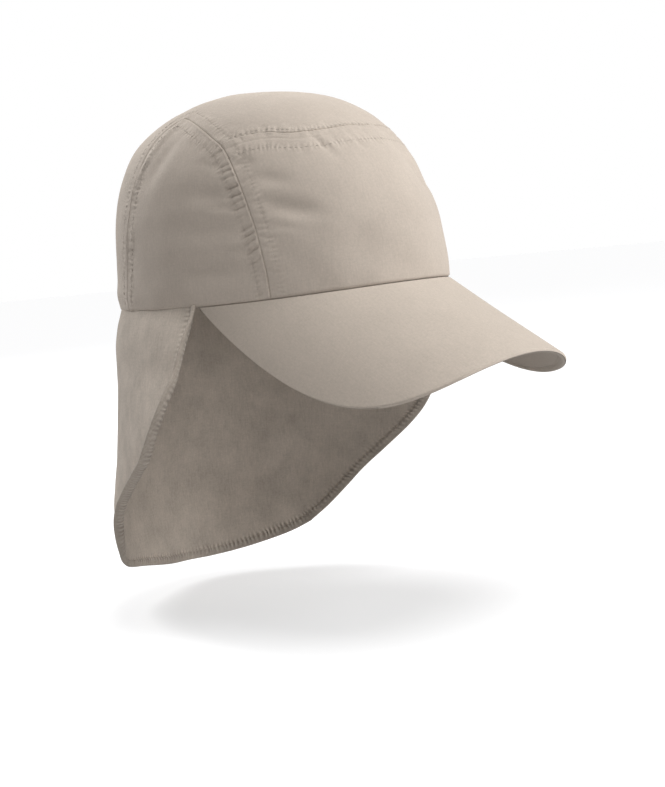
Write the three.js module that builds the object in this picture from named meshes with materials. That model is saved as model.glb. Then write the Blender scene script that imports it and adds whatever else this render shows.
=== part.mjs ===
// Legionnaire cap: a five-piece cloth crown, a curved visor, a neck flap and a sweatband.
// Millimetres, +Z up, the visor points to -Y and the wearer's right is -X.
// The origin is the middle of the head opening, on the plane of the rim at its back and sides.
import * as THREE from 'three';

// Head opening and crown
const rimHalfWidth = 84.5;
const rimHalfLength = 103;
const crownHeight = 116;
const crownLean = 4.5;
const panelWall = 1.6;
const seamGap = 0.3;

// Rise of the rim at the middle of the front
const rimFrontRise = 4.3;

// Visor
const visorReach = 65.6;
const visorDroop = 57;
const visorWall = 2.6;
const visorEdgeWall = 1.1;
const visorEdgeRound = 1.3;
const visorCornerDegrees = 80.95;
const visorBendDegrees = 66.2;
const visorCheekDegrees = 12;
const visorTipDegrees = 87;
const visorRootFade = 0.25;

// Sweatband
const bandHeight = 27;
const bandWall = 1.3;

// Neck flap
const flapDrop = 165;
const flapWall = 1.2;
const flapSideFlare = 18;
const flapBackFlare = 13;
const flapFrontFlare = 17;
const flapFoldDepth = 2.6;
const hemWidth = 4.6;
const hemWall = 2.2;
const hemStep = 0.9;

// The front edges of the flap stand out further from this turn from the back, over this many degrees
const flapWingStartDegrees = 50;
const flapWingSpanDegrees = 40;

// A hem takes at most this share of the grid cell that it lies in
const hemShareMost = 0.9;

// Depth of the deepest dent in the crown's cloth
const dentDepth = 2.4;

// How full the crown is, seen from the front, the side and the back: a profile of 2 is an ellipse
const crownForm = {
  front: { profile: 2.25, fullness: 2.49 },
  side: { profile: 2.83, fullness: 2.65 },
  back: { profile: 3.25, fullness: 2.89 },
};

// Seam round a side panel, from the rim at its front, over the top, to the rim at its back.
// turn: degrees from the middle of the front, rise: share of the crown's height
const sideSeam = [
  { turn: 56.5, rise: 0.0 },
  { turn: 57.2, rise: 0.14 },
  { turn: 59.0, rise: 0.31 },
  { turn: 61.5, rise: 0.46 },
  { turn: 64.8, rise: 0.6 },
  { turn: 68.9, rise: 0.706 },
  { turn: 75.3, rise: 0.774 },
  { turn: 82.3, rise: 0.826 },
  { turn: 90.8, rise: 0.869 },
  { turn: 98.6, rise: 0.886 },
  { turn: 105.5, rise: 0.858 },
  { turn: 110.5, rise: 0.785 },
  { turn: 112.5, rise: 0.66 },
  { turn: 114.0, rise: 0.48 },
  { turn: 116.0, rise: 0.24 },
  { turn: 118.0, rise: 0.0 },
];

// Share of that seam's length where the front panel's top seam meets it, and where its back run begins
const frontJoin = 0.36;
const backJoin = 0.64;

// Seam between the front panel and the top panel, for the wearer's right half
const topSeam = [
  { turn: 59.0, rise: 0.731 },
  { turn: 50.5, rise: 0.74 },
  { turn: 41.0, rise: 0.727 },
  { turn: 30.5, rise: 0.728 },
  { turn: 18.0, rise: 0.74 },
  { turn: 0.0, rise: 0.746 },
];

// Dents in the crown's cloth, and with a depth below zero its swellings. turn is positive to the
// wearer's left, length and breadth are shares of the crown's height, lean is the dent's tilt in
// degrees, and depth is a share of the deepest dent
const dents = [
  { name: 'front_crease', turn: 20, rise: 0.56, length: 0.17, breadth: 0.045, lean: -52, depth: 1.0 },
  { name: 'front_notch', turn: 33, rise: 0.52, length: 0.1, breadth: 0.06, lean: -20, depth: 0.7 },
  { name: 'side_hollow_high', turn: -98, rise: 0.74, length: 0.16, breadth: 0.05, lean: 28, depth: 0.6 },
  { name: 'side_hollow_mid', turn: -76, rise: 0.5, length: 0.2, breadth: 0.05, lean: -6, depth: 0.4 },
  { name: 'side_hollow_low', turn: -82, rise: 0.27, length: 0.26, breadth: 0.055, lean: 4, depth: 0.45 },
  { name: 'front_hollow_high', turn: -38, rise: 0.6, length: 0.15, breadth: 0.045, lean: 8, depth: 0.4 },
  { name: 'front_hollow_mid', turn: -33, rise: 0.44, length: 0.18, breadth: 0.05, lean: 10, depth: 0.45 },
  { name: 'left_hollow', turn: 84, rise: 0.42, length: 0.22, breadth: 0.055, lean: 5, depth: 0.4 },
  { name: 'right_shoulder', turn: -136, rise: 0.93, length: 0.34, breadth: 0.14, lean: 0, depth: 0.7 },
  { name: 'left_shoulder', turn: 136, rise: 0.93, length: 0.34, breadth: 0.14, lean: 0, depth: 0.7 },
  { name: 'right_rim_roll', turn: -138, rise: 0.07, length: 0.5, breadth: 0.055, lean: 0, depth: -0.5 },
  { name: 'left_rim_roll', turn: 138, rise: 0.07, length: 0.5, breadth: 0.055, lean: 0, depth: -0.5 },
  { name: 'back_hollow', turn: 166, rise: 0.46, length: 0.2, breadth: 0.055, lean: -8, depth: 0.45 },
];

// The dents fade out towards the top of the crown, between these shares of its half width
const dentsFadeFrom = 0.1;
const dentsFadeTo = 0.5;

// The flap's spread down its drop: each column is a share of the flare that it is named for
const flapSpread = [
  { drop: 0.0, side: 0.0, back: 0.0, front: 0.0 },
  { drop: 0.05, side: 0.2, back: 0.18, front: 0.1 },
  { drop: 0.1, side: 0.33, back: 0.28, front: 0.22 },
  { drop: 0.21, side: 0.45, back: 0.32, front: 0.5 },
  { drop: 0.29, side: 0.56, back: 0.36, front: 0.75 },
  { drop: 0.48, side: 0.78, back: 0.52, front: 1.0 },
  { drop: 0.6, side: 0.9, back: 0.78, front: 0.8 },
  { drop: 0.7, side: 1.0, back: 1.0, front: 0.5 },
  { drop: 0.78, side: 0.96, back: 0.98, front: 0.3 },
  { drop: 0.86, side: 0.8, back: 0.82, front: 0.2 },
  { drop: 1.0, side: 0.66, back: 0.66, front: 0.1 },
];

// Free edges of the flap. turn: degrees from the middle of the back, drop: share of the flap's drop
const flapRightEdge = [
  { turn: 97.0, drop: 0.0 },
  { turn: 98.0, drop: 0.12 },
  { turn: 97.4, drop: 0.24 },
  { turn: 94.8, drop: 0.36 },
  { turn: 89.2, drop: 0.46 },
  { turn: 81.4, drop: 0.52 },
  { turn: 72.8, drop: 0.58 },
  { turn: 65.6, drop: 0.64 },
  { turn: 60.4, drop: 0.7 },
  { turn: 57.0, drop: 0.76 },
  { turn: 53.4, drop: 0.81 },
  { turn: 46.5, drop: 0.862 },
];
const flapLeftEdge = [
  { turn: 97.0, drop: 0.0 },
  { turn: 98.5, drop: 0.12 },
  { turn: 99.0, drop: 0.24 },
  { turn: 98.5, drop: 0.36 },
  { turn: 94.0, drop: 0.46 },
  { turn: 88.3, drop: 0.54 },
  { turn: 81.0, drop: 0.62 },
  { turn: 73.3, drop: 0.7 },
  { turn: 66.7, drop: 0.78 },
  { turn: 60.5, drop: 0.85 },
  { turn: 54.0, drop: 0.908 },
];
const flapHem = [
  { turn: -46.5, drop: 0.862 },
  { turn: -40.0, drop: 0.906 },
  { turn: -33.0, drop: 0.935 },
  { turn: -20.0, drop: 0.962 },
  { turn: -6.0, drop: 0.988 },
  { turn: 4.0, drop: 0.996 },
  { turn: 16.0, drop: 1.0 },
  { turn: 28.0, drop: 0.988 },
  { turn: 40.0, drop: 0.962 },
  { turn: 48.0, drop: 0.937 },
  { turn: 54.0, drop: 0.908 },
];

// Soft folds that open towards the flap's hem
const flapFolds = [
  { turn: -38, breadth: 13, depth: 0.7 },
  { turn: -14, breadth: 10, depth: -0.6 },
  { turn: 14, breadth: 12, depth: 1.0 },
  { turn: 40, breadth: 11, depth: -0.7 },
];

// Number of faces along each edge
const facesAlong = {
  frontPanel: 24,
  seamRise: 15,
  seamTop: 11,
  visorAcross: 34,
  visorOut: 9,
  flapAcross: 34,
  flapDown: 15,
  bandRound: 72,
};

const degree = Math.PI / 180;
const fullTurnDegrees = 360;
const halfTurnDegrees = 180;
const down = new THREE.Vector3(0, 0, -1);

// Height of the rim at a turn from the middle of the front
function rimHeight(turn) {
  return rimFrontRise * Math.max(Math.cos(turn), 0) ** 2;
}

function material(colour, roughness) {
  return new THREE.MeshStandardMaterial({ color: colour, roughness, metalness: 0 });
}

// Value of a column of the flap's spread at a share of its drop
function flapSpreadAt(column, drop) {
  const below = flapSpread.findIndex((row) => row.drop >= drop);
  if (below === 0) {
    return flapSpread[0][column];
  }
  if (below < 0) {
    return flapSpread[flapSpread.length - 1][column];
  }
  const [high, low] = [flapSpread[below - 1], flapSpread[below]];
  return THREE.MathUtils.mapLinear(drop, high.drop, low.drop, high[column], low[column]);
}

// Crown surface
function crownShape(turn) {
  const facing = Math.cos(turn);
  const front = Math.max(facing, 0) ** 2;
  const back = Math.max(-facing, 0) ** 2;
  const side = 1 - front - back;
  const { front: ahead, side: beside, back: behind } = crownForm;
  return {
    profile: front * ahead.profile + side * beside.profile + back * behind.profile,
    fullness: front * ahead.fullness + side * beside.fullness + back * behind.fullness,
  };
}

function crownSpot(turn, height) {
  const rise = THREE.MathUtils.clamp(height / crownHeight, 0, 1);
  const shape = crownShape(turn);
  const share = Math.max(1 - rise ** shape.profile, 0) ** (1 / shape.fullness);
  const x = rimHalfWidth * Math.sin(turn) * share;
  const y = crownLean * rise * rise - rimHalfLength * Math.cos(turn) * share;
  return new THREE.Vector3(x, y, height);
}

// Zero on the crown's outer face, negative inside
function crownLevel(spot) {
  const rise = Math.max(spot.z / crownHeight, 0);
  const across = spot.x / rimHalfWidth;
  const along = (spot.y - crownLean * rise * rise) / rimHalfLength;
  const shape = crownShape(Math.atan2(across, -along));
  return Math.hypot(across, along) ** shape.fullness + rise ** shape.profile - 1;
}

function crownNormal(spot) {
  const reach = 0.2;
  const slope = (axis) => {
    const ahead = spot.clone();
    const behind = spot.clone();
    ahead[axis] += reach;
    behind[axis] -= reach;
    return crownLevel(ahead) - crownLevel(behind);
  };
  return new THREE.Vector3(slope('x'), slope('y'), slope('z')).normalize();
}

// Nearest crown point on the line from the middle of the hollow through a given point
function castToCrown(spot) {
  const heart = new THREE.Vector3(0, crownLean / 2, crownHeight / 4);
  const ray = spot.clone().sub(heart);
  let near = 0;
  let far = 3;
  for (let pass = 0; pass < 40; pass += 1) {
    const middle = (near + far) / 2;
    if (crownLevel(heart.clone().addScaledVector(ray, middle)) < 0) {
      near = middle;
    } else {
      far = middle;
    }
  }
  return heart.addScaledVector(ray, near);
}

function dentAt(spot) {
  const rise = spot.z / crownHeight;
  const turn = Math.atan2(spot.x / rimHalfWidth, -spot.y / rimHalfLength);
  let depth = 0;
  for (const dent of dents) {
    const swing = Math.atan2(Math.sin(turn - dent.turn * degree), Math.cos(turn - dent.turn * degree));
    const across = (swing * rimHalfLength) / crownHeight;
    const up = rise - dent.rise;
    const tilt = dent.lean * degree;
    const alongDent = across * Math.cos(tilt) + up * Math.sin(tilt);
    const overDent = up * Math.cos(tilt) - across * Math.sin(tilt);
    const fade = (alongDent / dent.length) ** 2 + (overDent / dent.breadth) ** 2;
    depth += dent.depth * Math.exp(-fade);
  }
  const fromAxis = Math.hypot(spot.x, spot.y - crownLean) / rimHalfWidth;
  const share = Math.min(Math.max((fromAxis - dentsFadeFrom) / (dentsFadeTo - dentsFadeFrom), 0), 1);
  return depth * dentDepth * share ** 2 * (3 - 2 * share);
}

// Visor surface: a sheet bent about a line that falls towards the front
const visorCornerAngle = visorCornerDegrees * degree;
const visorArchWidth = (rimHalfWidth * Math.sin(visorCornerAngle)) / Math.sin(visorBendDegrees * degree);
const visorArchDepth = visorDroop / (1 - Math.cos(visorBendDegrees * degree));
const visorCornerReach = rimHalfLength * Math.cos(visorCornerAngle);
const visorRootDrop = visorDroop - rimFrontRise + rimHeight(visorCornerAngle);
const visorFall = visorRootDrop / (rimHalfLength - visorCornerReach);

function visorPoint(bend, reach) {
  const drop = visorArchDepth * (1 - Math.cos(bend));
  const height = rimFrontRise - drop - visorFall * (reach - rimHalfLength);
  return new THREE.Vector3(visorArchWidth * Math.sin(bend), -reach, height);
}

function visorSpot(sweep, out) {
  const rootBend = visorBendDegrees * degree * Math.sin(sweep);
  const rootAcross = (visorArchWidth * Math.sin(rootBend)) / rimHalfWidth;
  const rootReach = rimHalfLength * Math.sqrt(1 - rootAcross ** 2);
  const edgeBend = rootBend + visorCheekDegrees * degree * Math.sin(2 * sweep);
  const edgeReach = visorCornerReach + (rimHalfLength + visorReach - visorCornerReach) * Math.cos(sweep);
  const bend = THREE.MathUtils.lerp(rootBend, edgeBend, out);
  const spot = visorPoint(bend, THREE.MathUtils.lerp(rootReach, edgeReach, out));
  const root = visorPoint(rootBend, rootReach);
  spot.z += (rimHeight(Math.asin(rootAcross)) - root.z) * (1 - out) ** 2;
  return spot;
}

// Grids and shells
function boundaryLoop(across, along) {
  const loop = [];
  for (let i = 0; i < across; i += 1) {
    loop.push([i, 0]);
  }
  for (let j = 0; j < along; j += 1) {
    loop.push([across, j]);
  }
  for (let i = across; i > 0; i -= 1) {
    loop.push([i, along]);
  }
  for (let j = along; j > 0; j -= 1) {
    loop.push([0, j]);
  }
  return loop;
}

// Grid over four edges that share their corners. bottom and top run one way, left and right upwards
function patchGrid(bottom, top, left, right) {
  const across = bottom.length - 1;
  const along = left.length - 1;
  const grid = [];
  for (let j = 0; j <= along; j += 1) {
    const row = [];
    const v = j / along;
    for (let i = 0; i <= across; i += 1) {
      const u = i / across;
      const spot = bottom[i].clone().multiplyScalar(1 - v).addScaledVector(top[i], v);
      spot.addScaledVector(left[j], 1 - u).addScaledVector(right[j], u);
      spot.addScaledVector(bottom[0], -(1 - u) * (1 - v)).addScaledVector(bottom[across], -u * (1 - v));
      spot.addScaledVector(top[0], -(1 - u) * v).addScaledVector(top[across], -u * v);
      row.push(spot);
    }
    grid.push(row);
  }
  return grid;
}

// Draws the outline of a grid in by half the seam gap, in the plane of the cloth
function drawIn(grid, normals) {
  const loop = boundaryLoop(grid[0].length - 1, grid.length - 1);
  const moved = loop.map(([i, j], k) => {
    const [iBefore, jBefore] = loop[(k + loop.length - 1) % loop.length];
    const [iAfter, jAfter] = loop[(k + 1) % loop.length];
    const spot = grid[j][i];
    const inward = (from, to) => normals[j][i].clone().cross(to.clone().sub(from)).normalize();
    const first = inward(grid[jBefore][iBefore], spot);
    const second = inward(spot, grid[jAfter][iAfter]);
    const reach = seamGap / 2 / (1 + first.dot(second));
    return spot.clone().addScaledVector(first, reach).addScaledVector(second, reach);
  });
  loop.forEach(([i, j], k) => {
    grid[j][i] = moved[k];
  });
}

// Closed wall between an outer and an inner grid
function shellGeometry(outer, inner) {
  const across = outer[0].length - 1;
  const along = outer.length - 1;
  const positions = [];
  const indices = [];
  for (const grid of [outer, inner]) {
    for (const row of grid) {
      for (const spot of row) {
        positions.push(spot.x, spot.y, spot.z);
      }
    }
  }
  const front = (i, j) => j * (across + 1) + i;
  const rear = (i, j) => front(i, j) + (across + 1) * (along + 1);
  for (let j = 0; j < along; j += 1) {
    for (let i = 0; i < across; i += 1) {
      indices.push(front(i, j), front(i + 1, j), front(i + 1, j + 1));
      indices.push(front(i, j), front(i + 1, j + 1), front(i, j + 1));
      indices.push(rear(i, j), rear(i + 1, j + 1), rear(i + 1, j));
      indices.push(rear(i, j), rear(i, j + 1), rear(i + 1, j + 1));
    }
  }
  const loop = boundaryLoop(across, along);
  loop.forEach(([i, j], k) => {
    const [iNext, jNext] = loop[(k + 1) % loop.length];
    indices.push(front(i, j), rear(i, j), front(iNext, jNext));
    indices.push(front(iNext, jNext), rear(i, j), rear(iNext, jNext));
  });
  const geometry = new THREE.BufferGeometry();
  geometry.setAttribute('position', new THREE.Float32BufferAttribute(positions, 3));
  geometry.setIndex(indices);
  geometry.computeVertexNormals();
  return geometry;
}

// Closed band between an outer and an inner grid whose columns run right round
function ringGeometry(outer, inner) {
  const round = outer[0].length;
  const along = outer.length - 1;
  const positions = [];
  const indices = [];
  for (const grid of [outer, inner]) {
    for (const row of grid) {
      for (const spot of row) {
        positions.push(spot.x, spot.y, spot.z);
      }
    }
  }
  const front = (i, j) => j * round + (i % round);
  const rear = (i, j) => front(i, j) + round * (along + 1);
  for (let i = 0; i < round; i += 1) {
    for (let j = 0; j < along; j += 1) {
      indices.push(front(i, j), front(i + 1, j), front(i + 1, j + 1));
      indices.push(front(i, j), front(i + 1, j + 1), front(i, j + 1));
      indices.push(rear(i, j), rear(i + 1, j + 1), rear(i + 1, j));
      indices.push(rear(i, j), rear(i, j + 1), rear(i + 1, j + 1));
    }
    indices.push(front(i, 0), rear(i, 0), front(i + 1, 0));
    indices.push(front(i + 1, 0), rear(i, 0), rear(i + 1, 0));
    indices.push(front(i, along), front(i + 1, along), rear(i, along));
    indices.push(front(i + 1, along), rear(i + 1, along), rear(i, along));
  }
  const geometry = new THREE.BufferGeometry();
  geometry.setAttribute('position', new THREE.Float32BufferAttribute(positions, 3));
  geometry.setIndex(indices);
  geometry.computeVertexNormals();
  return geometry;
}

// Crown panels
function seamCurve(rows) {
  return new THREE.SplineCurve(rows.map((row) => new THREE.Vector2(row.turn, row.rise * crownHeight)));
}

const sideCurve = seamCurve(sideSeam);

// Crown point at a share of the side seam's length; the seam starts and ends on the rim
function sideSeamSpot(share, side) {
  const at = sideCurve.getPointAt(share);
  const turn = at.x * degree;
  const rimFade = Math.max(0, 1 - at.y / (crownHeight / 2));
  return crownSpot(side * turn, at.y + rimHeight(turn) * rimFade);
}

function sideSeamRun(from, to, faces, side) {
  const run = [];
  for (let k = 0; k <= faces; k += 1) {
    run.push(sideSeamSpot(THREE.MathUtils.lerp(from, to, k / faces), side));
  }
  return run;
}

function topSeamRun() {
  const joint = sideCurve.getPointAt(frontJoin);
  const rows = topSeam.map((row) => new THREE.Vector2(row.turn, row.rise * crownHeight));
  const half = [joint, ...rows];
  const mirrored = half.slice(0, -1).reverse().map((row) => new THREE.Vector2(-row.x, row.y));
  const curve = new THREE.SplineCurve([...half, ...mirrored]);
  const run = curve.getSpacedPoints(facesAlong.frontPanel).map((at) => crownSpot(-at.x * degree, at.y));
  run[0] = sideSeamSpot(frontJoin, -1);
  run[run.length - 1] = sideSeamSpot(frontJoin, 1);
  return run;
}

function rimRun(fromTurn, toTurn, faces) {
  const run = [];
  for (let k = 0; k <= faces; k += 1) {
    const turn = THREE.MathUtils.lerp(fromTurn, toTurn, k / faces) * degree;
    run.push(crownSpot(turn, rimHeight(turn)));
  }
  return run;
}

function panelGeometry(bottom, top, left, right) {
  const flat = patchGrid(bottom, top, left, right);
  const lastRow = flat.length - 1;
  const lastColumn = flat[0].length - 1;
  const onEdge = (i, j) => i === 0 || j === 0 || i === lastColumn || j === lastRow;
  const grid = flat.map((row, j) => row.map((spot, i) => (onEdge(i, j) ? spot : castToCrown(spot))));
  const normals = grid.map((row) => row.map((spot) => crownNormal(spot)));
  const sinkBy = (cells, depthAt) => cells.map((row, j) => (
    row.map((spot, i) => spot.clone().addScaledVector(normals[j][i], -depthAt(spot)))
  ));
  const outer = sinkBy(grid, dentAt);
  drawIn(outer, normals);
  return shellGeometry(outer, sinkBy(outer, () => panelWall));
}

const seamStart = sideSeam[0].turn;
const seamEnd = sideSeam[sideSeam.length - 1].turn;

function frontPanelGeometry() {
  const bottom = rimRun(-seamStart, seamStart, facesAlong.frontPanel);
  const left = sideSeamRun(0, frontJoin, facesAlong.seamRise, -1);
  const right = sideSeamRun(0, frontJoin, facesAlong.seamRise, 1);
  return panelGeometry(bottom, topSeamRun(), left, right);
}

function topPanelGeometry() {
  const over = (side) => [
    ...sideSeamRun(frontJoin, backJoin, facesAlong.seamTop, side),
    ...sideSeamRun(backJoin, 1, facesAlong.seamRise, side).slice(1),
  ];
  const back = rimRun(-seamEnd, seamEnd - fullTurnDegrees, facesAlong.frontPanel);
  return panelGeometry(topSeamRun(), back, over(-1), over(1));
}

// side: -1 for the wearer's right, 1 for the wearer's left
function sidePanelGeometry(side) {
  const front = sideSeamRun(0, frontJoin, facesAlong.seamRise, side);
  const back = sideSeamRun(1, backJoin, facesAlong.seamRise, side);
  const rim = rimRun(side * seamStart, side * seamEnd, facesAlong.seamTop);
  const top = sideSeamRun(frontJoin, backJoin, facesAlong.seamTop, side);
  if (side > 0) {
    return panelGeometry(rim, top, front, back);
  }
  return panelGeometry(rim.reverse(), top.reverse(), back, front);
}

// Upward normal of the visor
function visorNormal(sweep, out) {
  const reach = 0.01;
  const at = Math.max(out, 2 * reach);
  const across = visorSpot(sweep + reach, at).sub(visorSpot(sweep - reach, at));
  const inwards = visorSpot(sweep, 0).sub(visorSpot(sweep, 1));
  return across.cross(inwards).normalize();
}

// Visor: a bent sheet whose root lies flat under the crown's edge. Each column runs from the
// rounded edge, through the sheet, to the lip under the crown's wall
function visorColumn(sweep) {
  const lift = -seamGap / 2;
  const length = visorSpot(sweep, 0).distanceTo(visorSpot(sweep, 1));
  const roundShare = Math.min(visorEdgeRound / length, visorRootFade);
  const outs = [1];
  for (let j = 0; j <= facesAlong.visorOut; j += 1) {
    outs.push((1 - roundShare) * (1 - j / facesAlong.visorOut));
  }
  const column = outs.map((out, j) => {
    const spot = visorSpot(sweep, out);
    spot.z += lift;
    const rootFade = THREE.MathUtils.smoothstep(out, 0, visorRootFade);
    const sink = down.clone().lerp(visorNormal(sweep, out).negate(), rootFade).normalize();
    const bevel = j === 0 ? (visorWall - visorEdgeWall) / 2 : 0;
    return {
      top: spot.clone().addScaledVector(sink, bevel),
      bottom: spot.clone().addScaledVector(sink, visorWall - bevel),
    };
  });
  const lip = visorSpot(sweep, 0);
  lip.addScaledVector(crownNormal(new THREE.Vector3(lip.x, lip.y, 0)), -panelWall);
  lip.z += lift;
  column.push({ top: lip, bottom: lip.clone().addScaledVector(down, visorWall) });
  return column;
}

function visorGeometry() {
  const columns = [];
  for (let i = 0; i <= facesAlong.visorAcross; i += 1) {
    const share = i / facesAlong.visorAcross;
    columns.push(visorColumn(THREE.MathUtils.lerp(-visorTipDegrees, visorTipDegrees, share) * degree));
  }
  const rows = columns[0].map((_, j) => j);
  const top = rows.map((j) => columns.map((column) => column[j].top));
  const bottom = rows.map((j) => columns.map((column) => column[j].bottom));
  return shellGeometry(top, bottom);
}

// Sweatband: a plain band inside the crown's edge
function sweatbandGeometry() {
  const steps = [0, 0.5, 1];
  const outer = [];
  const inner = [];
  for (const step of steps) {
    const outerRow = [];
    const innerRow = [];
    for (let i = 0; i < facesAlong.bandRound; i += 1) {
      const turn = ((i * fullTurnDegrees) / facesAlong.bandRound) * degree;
      const spot = crownSpot(turn, rimHeight(turn) + seamGap / 2 + step * bandHeight);
      const normal = crownNormal(spot);
      spot.addScaledVector(normal, -dentAt(spot) - panelWall - seamGap);
      outerRow.push(spot);
      innerRow.push(spot.clone().addScaledVector(normal, -bandWall));
    }
    outer.push(outerRow);
    inner.push(innerRow);
  }
  return ringGeometry(outer, inner);
}

// Neck flap. turn in degrees from the middle of the back, positive to the wearer's left
function flapSpot(turn, drop) {
  const halfWidth = rimHalfWidth - seamGap + flapSideFlare * flapSpreadAt('side', drop);
  const halfLength = rimHalfLength - seamGap + flapBackFlare * flapSpreadAt('back', drop);
  const forward = Math.max(Math.abs(turn) - flapWingStartDegrees, 0) / flapWingSpanDegrees;
  const wing = flapFrontFlare * flapSpreadAt('front', drop) * forward ** 2 * Math.sign(turn);
  const rim = rimHeight((halfTurnDegrees - turn) * degree) * (1 - drop);
  const spot = new THREE.Vector3(
    halfWidth * Math.sin(turn * degree) + wing,
    halfLength * Math.cos(turn * degree),
    rim - seamGap / 2 - flapDrop * drop,
  );
  let fold = 0;
  for (const row of flapFolds) {
    fold += row.depth * Math.exp(-(((turn - row.turn) / row.breadth) ** 2));
  }
  const outward = new THREE.Vector3(Math.sin(turn * degree), Math.cos(turn * degree), 0);
  return spot.addScaledVector(outward, flapFoldDepth * fold * drop ** 2);
}

function flapNormal(turn, drop) {
  const across = flapSpot(turn - 0.5, drop).sub(flapSpot(turn + 0.5, drop));
  const up = flapSpot(turn, Math.max(drop - 0.01, 0)).sub(flapSpot(turn, drop + 0.01));
  return across.cross(up).normalize();
}

// The flap's cloth is laid out flat first: x runs round the rim and y down from it, in millimetres
const flapArc = ((rimHalfWidth + rimHalfLength) / 2) * degree;

function flapEdgeRun(rows, side, faces) {
  const points = rows.map((row) => new THREE.Vector2(side * row.turn * flapArc, row.drop * flapDrop));
  const run = new THREE.SplineCurve(points).getSpacedPoints(faces);
  return run.map((at) => new THREE.Vector3(at.x, at.y, 0));
}

// Grid lines of the turned hem: two beside each free edge
function hemLines(row, atEnd) {
  const line = (from, to, length) => {
    const share = Math.min(length / from.distanceTo(to), hemShareMost);
    return from.clone().lerp(to, share);
  };
  const last = row.length - 1;
  const head = [row[0], line(row[0], row[1], hemWidth), line(row[0], row[1], hemWidth + hemStep)];
  if (!atEnd) {
    return [...head, ...row.slice(1)];
  }
  const tail = [
    line(row[last], row[last - 1], hemWidth + hemStep),
    line(row[last], row[last - 1], hemWidth),
    row[last],
  ];
  return [...head, ...row.slice(1, last), ...tail];
}

function flapGeometry() {
  const widths = facesAlong.flapAcross;
  const left = flapEdgeRun(flapLeftEdge, 1, facesAlong.flapDown).reverse();
  const right = flapEdgeRun(flapRightEdge, -1, facesAlong.flapDown).reverse();
  const hem = flapEdgeRun(flapHem, 1, widths).reverse();
  const [leftTop, rightTop] = [left[left.length - 1], right[right.length - 1]];
  const rim = hem.map((_, i) => leftTop.clone().lerp(rightTop, i / widths));
  const rows = patchGrid(hem, rim, left, right).map((row) => hemLines(row, true));
  const columns = rows[0].map((_, i) => hemLines(rows.map((row) => row[i]), false));
  const lastColumn = columns.length - 1;
  const lastRow = columns[0].length - 1;
  const outer = [];
  const inner = [];
  for (let j = 0; j <= lastRow; j += 1) {
    outer.push([]);
    inner.push([]);
    for (let i = 0; i <= lastColumn; i += 1) {
      const [turn, drop] = [columns[i][j].x / flapArc, columns[i][j].y / flapDrop];
      const spot = flapSpot(turn, drop);
      const normal = flapNormal(turn, drop);
      const hemmed = (i < 2 || i > lastColumn - 2 || j < 2) && j < lastRow;
      const extra = hemmed ? (hemWall - flapWall) / 2 : 0;
      outer[j].push(spot.clone().addScaledVector(normal, extra));
      inner[j].push(spot.clone().addScaledVector(normal, -flapWall - extra));
    }
  }
  return shellGeometry(outer, inner);
}

const stone = 0xb8aa9b;
const pieces = [
  { name: 'front_panel', geometry: frontPanelGeometry(), colour: stone },
  { name: 'top_panel', geometry: topPanelGeometry(), colour: stone },
  { name: 'side_panel_right', geometry: sidePanelGeometry(-1), colour: stone },
  { name: 'side_panel_left', geometry: sidePanelGeometry(1), colour: stone },
  { name: 'visor', geometry: visorGeometry(), colour: stone },
  { name: 'sweatband', geometry: sweatbandGeometry(), colour: 0xa89b8c },
  { name: 'neck_flap', geometry: flapGeometry(), colour: stone },
];

const group = new THREE.Group();
for (const piece of pieces) {
  const mesh = new THREE.Mesh(piece.geometry, material(piece.colour, 0.9));
  mesh.name = piece.name;
  group.add(mesh);
}

export default group;
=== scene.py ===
"""Legionnaire cap: a stitched cloth crown, an arched visor, a neck flap and a sweatband, in metres."""

import math
from collections import namedtuple

import bpy
import numpy as np
from mathutils import Matrix, Vector, kdtree, noise


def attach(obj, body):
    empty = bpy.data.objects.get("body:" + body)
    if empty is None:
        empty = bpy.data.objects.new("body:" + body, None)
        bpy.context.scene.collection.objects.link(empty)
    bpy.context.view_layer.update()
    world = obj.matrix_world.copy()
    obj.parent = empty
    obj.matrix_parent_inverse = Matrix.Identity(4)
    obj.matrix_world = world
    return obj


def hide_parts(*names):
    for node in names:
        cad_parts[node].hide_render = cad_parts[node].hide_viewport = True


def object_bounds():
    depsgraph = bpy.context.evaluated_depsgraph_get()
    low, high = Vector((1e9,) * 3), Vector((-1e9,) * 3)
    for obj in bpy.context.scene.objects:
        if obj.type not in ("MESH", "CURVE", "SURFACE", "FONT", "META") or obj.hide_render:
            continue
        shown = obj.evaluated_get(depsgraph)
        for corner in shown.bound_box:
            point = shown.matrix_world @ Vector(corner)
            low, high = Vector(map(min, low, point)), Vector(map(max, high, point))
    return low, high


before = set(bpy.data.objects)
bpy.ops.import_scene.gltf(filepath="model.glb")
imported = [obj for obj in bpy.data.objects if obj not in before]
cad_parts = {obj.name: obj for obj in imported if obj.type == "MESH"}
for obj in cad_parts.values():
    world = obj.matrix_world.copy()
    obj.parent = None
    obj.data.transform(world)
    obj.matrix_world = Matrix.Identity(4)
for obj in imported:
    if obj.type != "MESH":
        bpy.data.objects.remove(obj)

CAD_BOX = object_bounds()

bl_info = {
    "name": "Legionnaire Cap",
    "version": (1, 0, 0),
    "blender": (4, 5, 0),
    "location": "View3D > Sidebar > Legionnaire Cap",
    "description": "Builds a stitched cloth cap with a visor and a neck flap",
    "category": "Add Mesh",
}

MM = 0.001
DEGREE = math.pi / 180
TAU = 2 * math.pi

# How full the crown is, seen from the front, the side and the back: (profile, fullness)
CROWN_FORM = {"front": (2.25, 2.49), "side": (2.83, 2.65), "back": (3.25, 2.89)}

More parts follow.
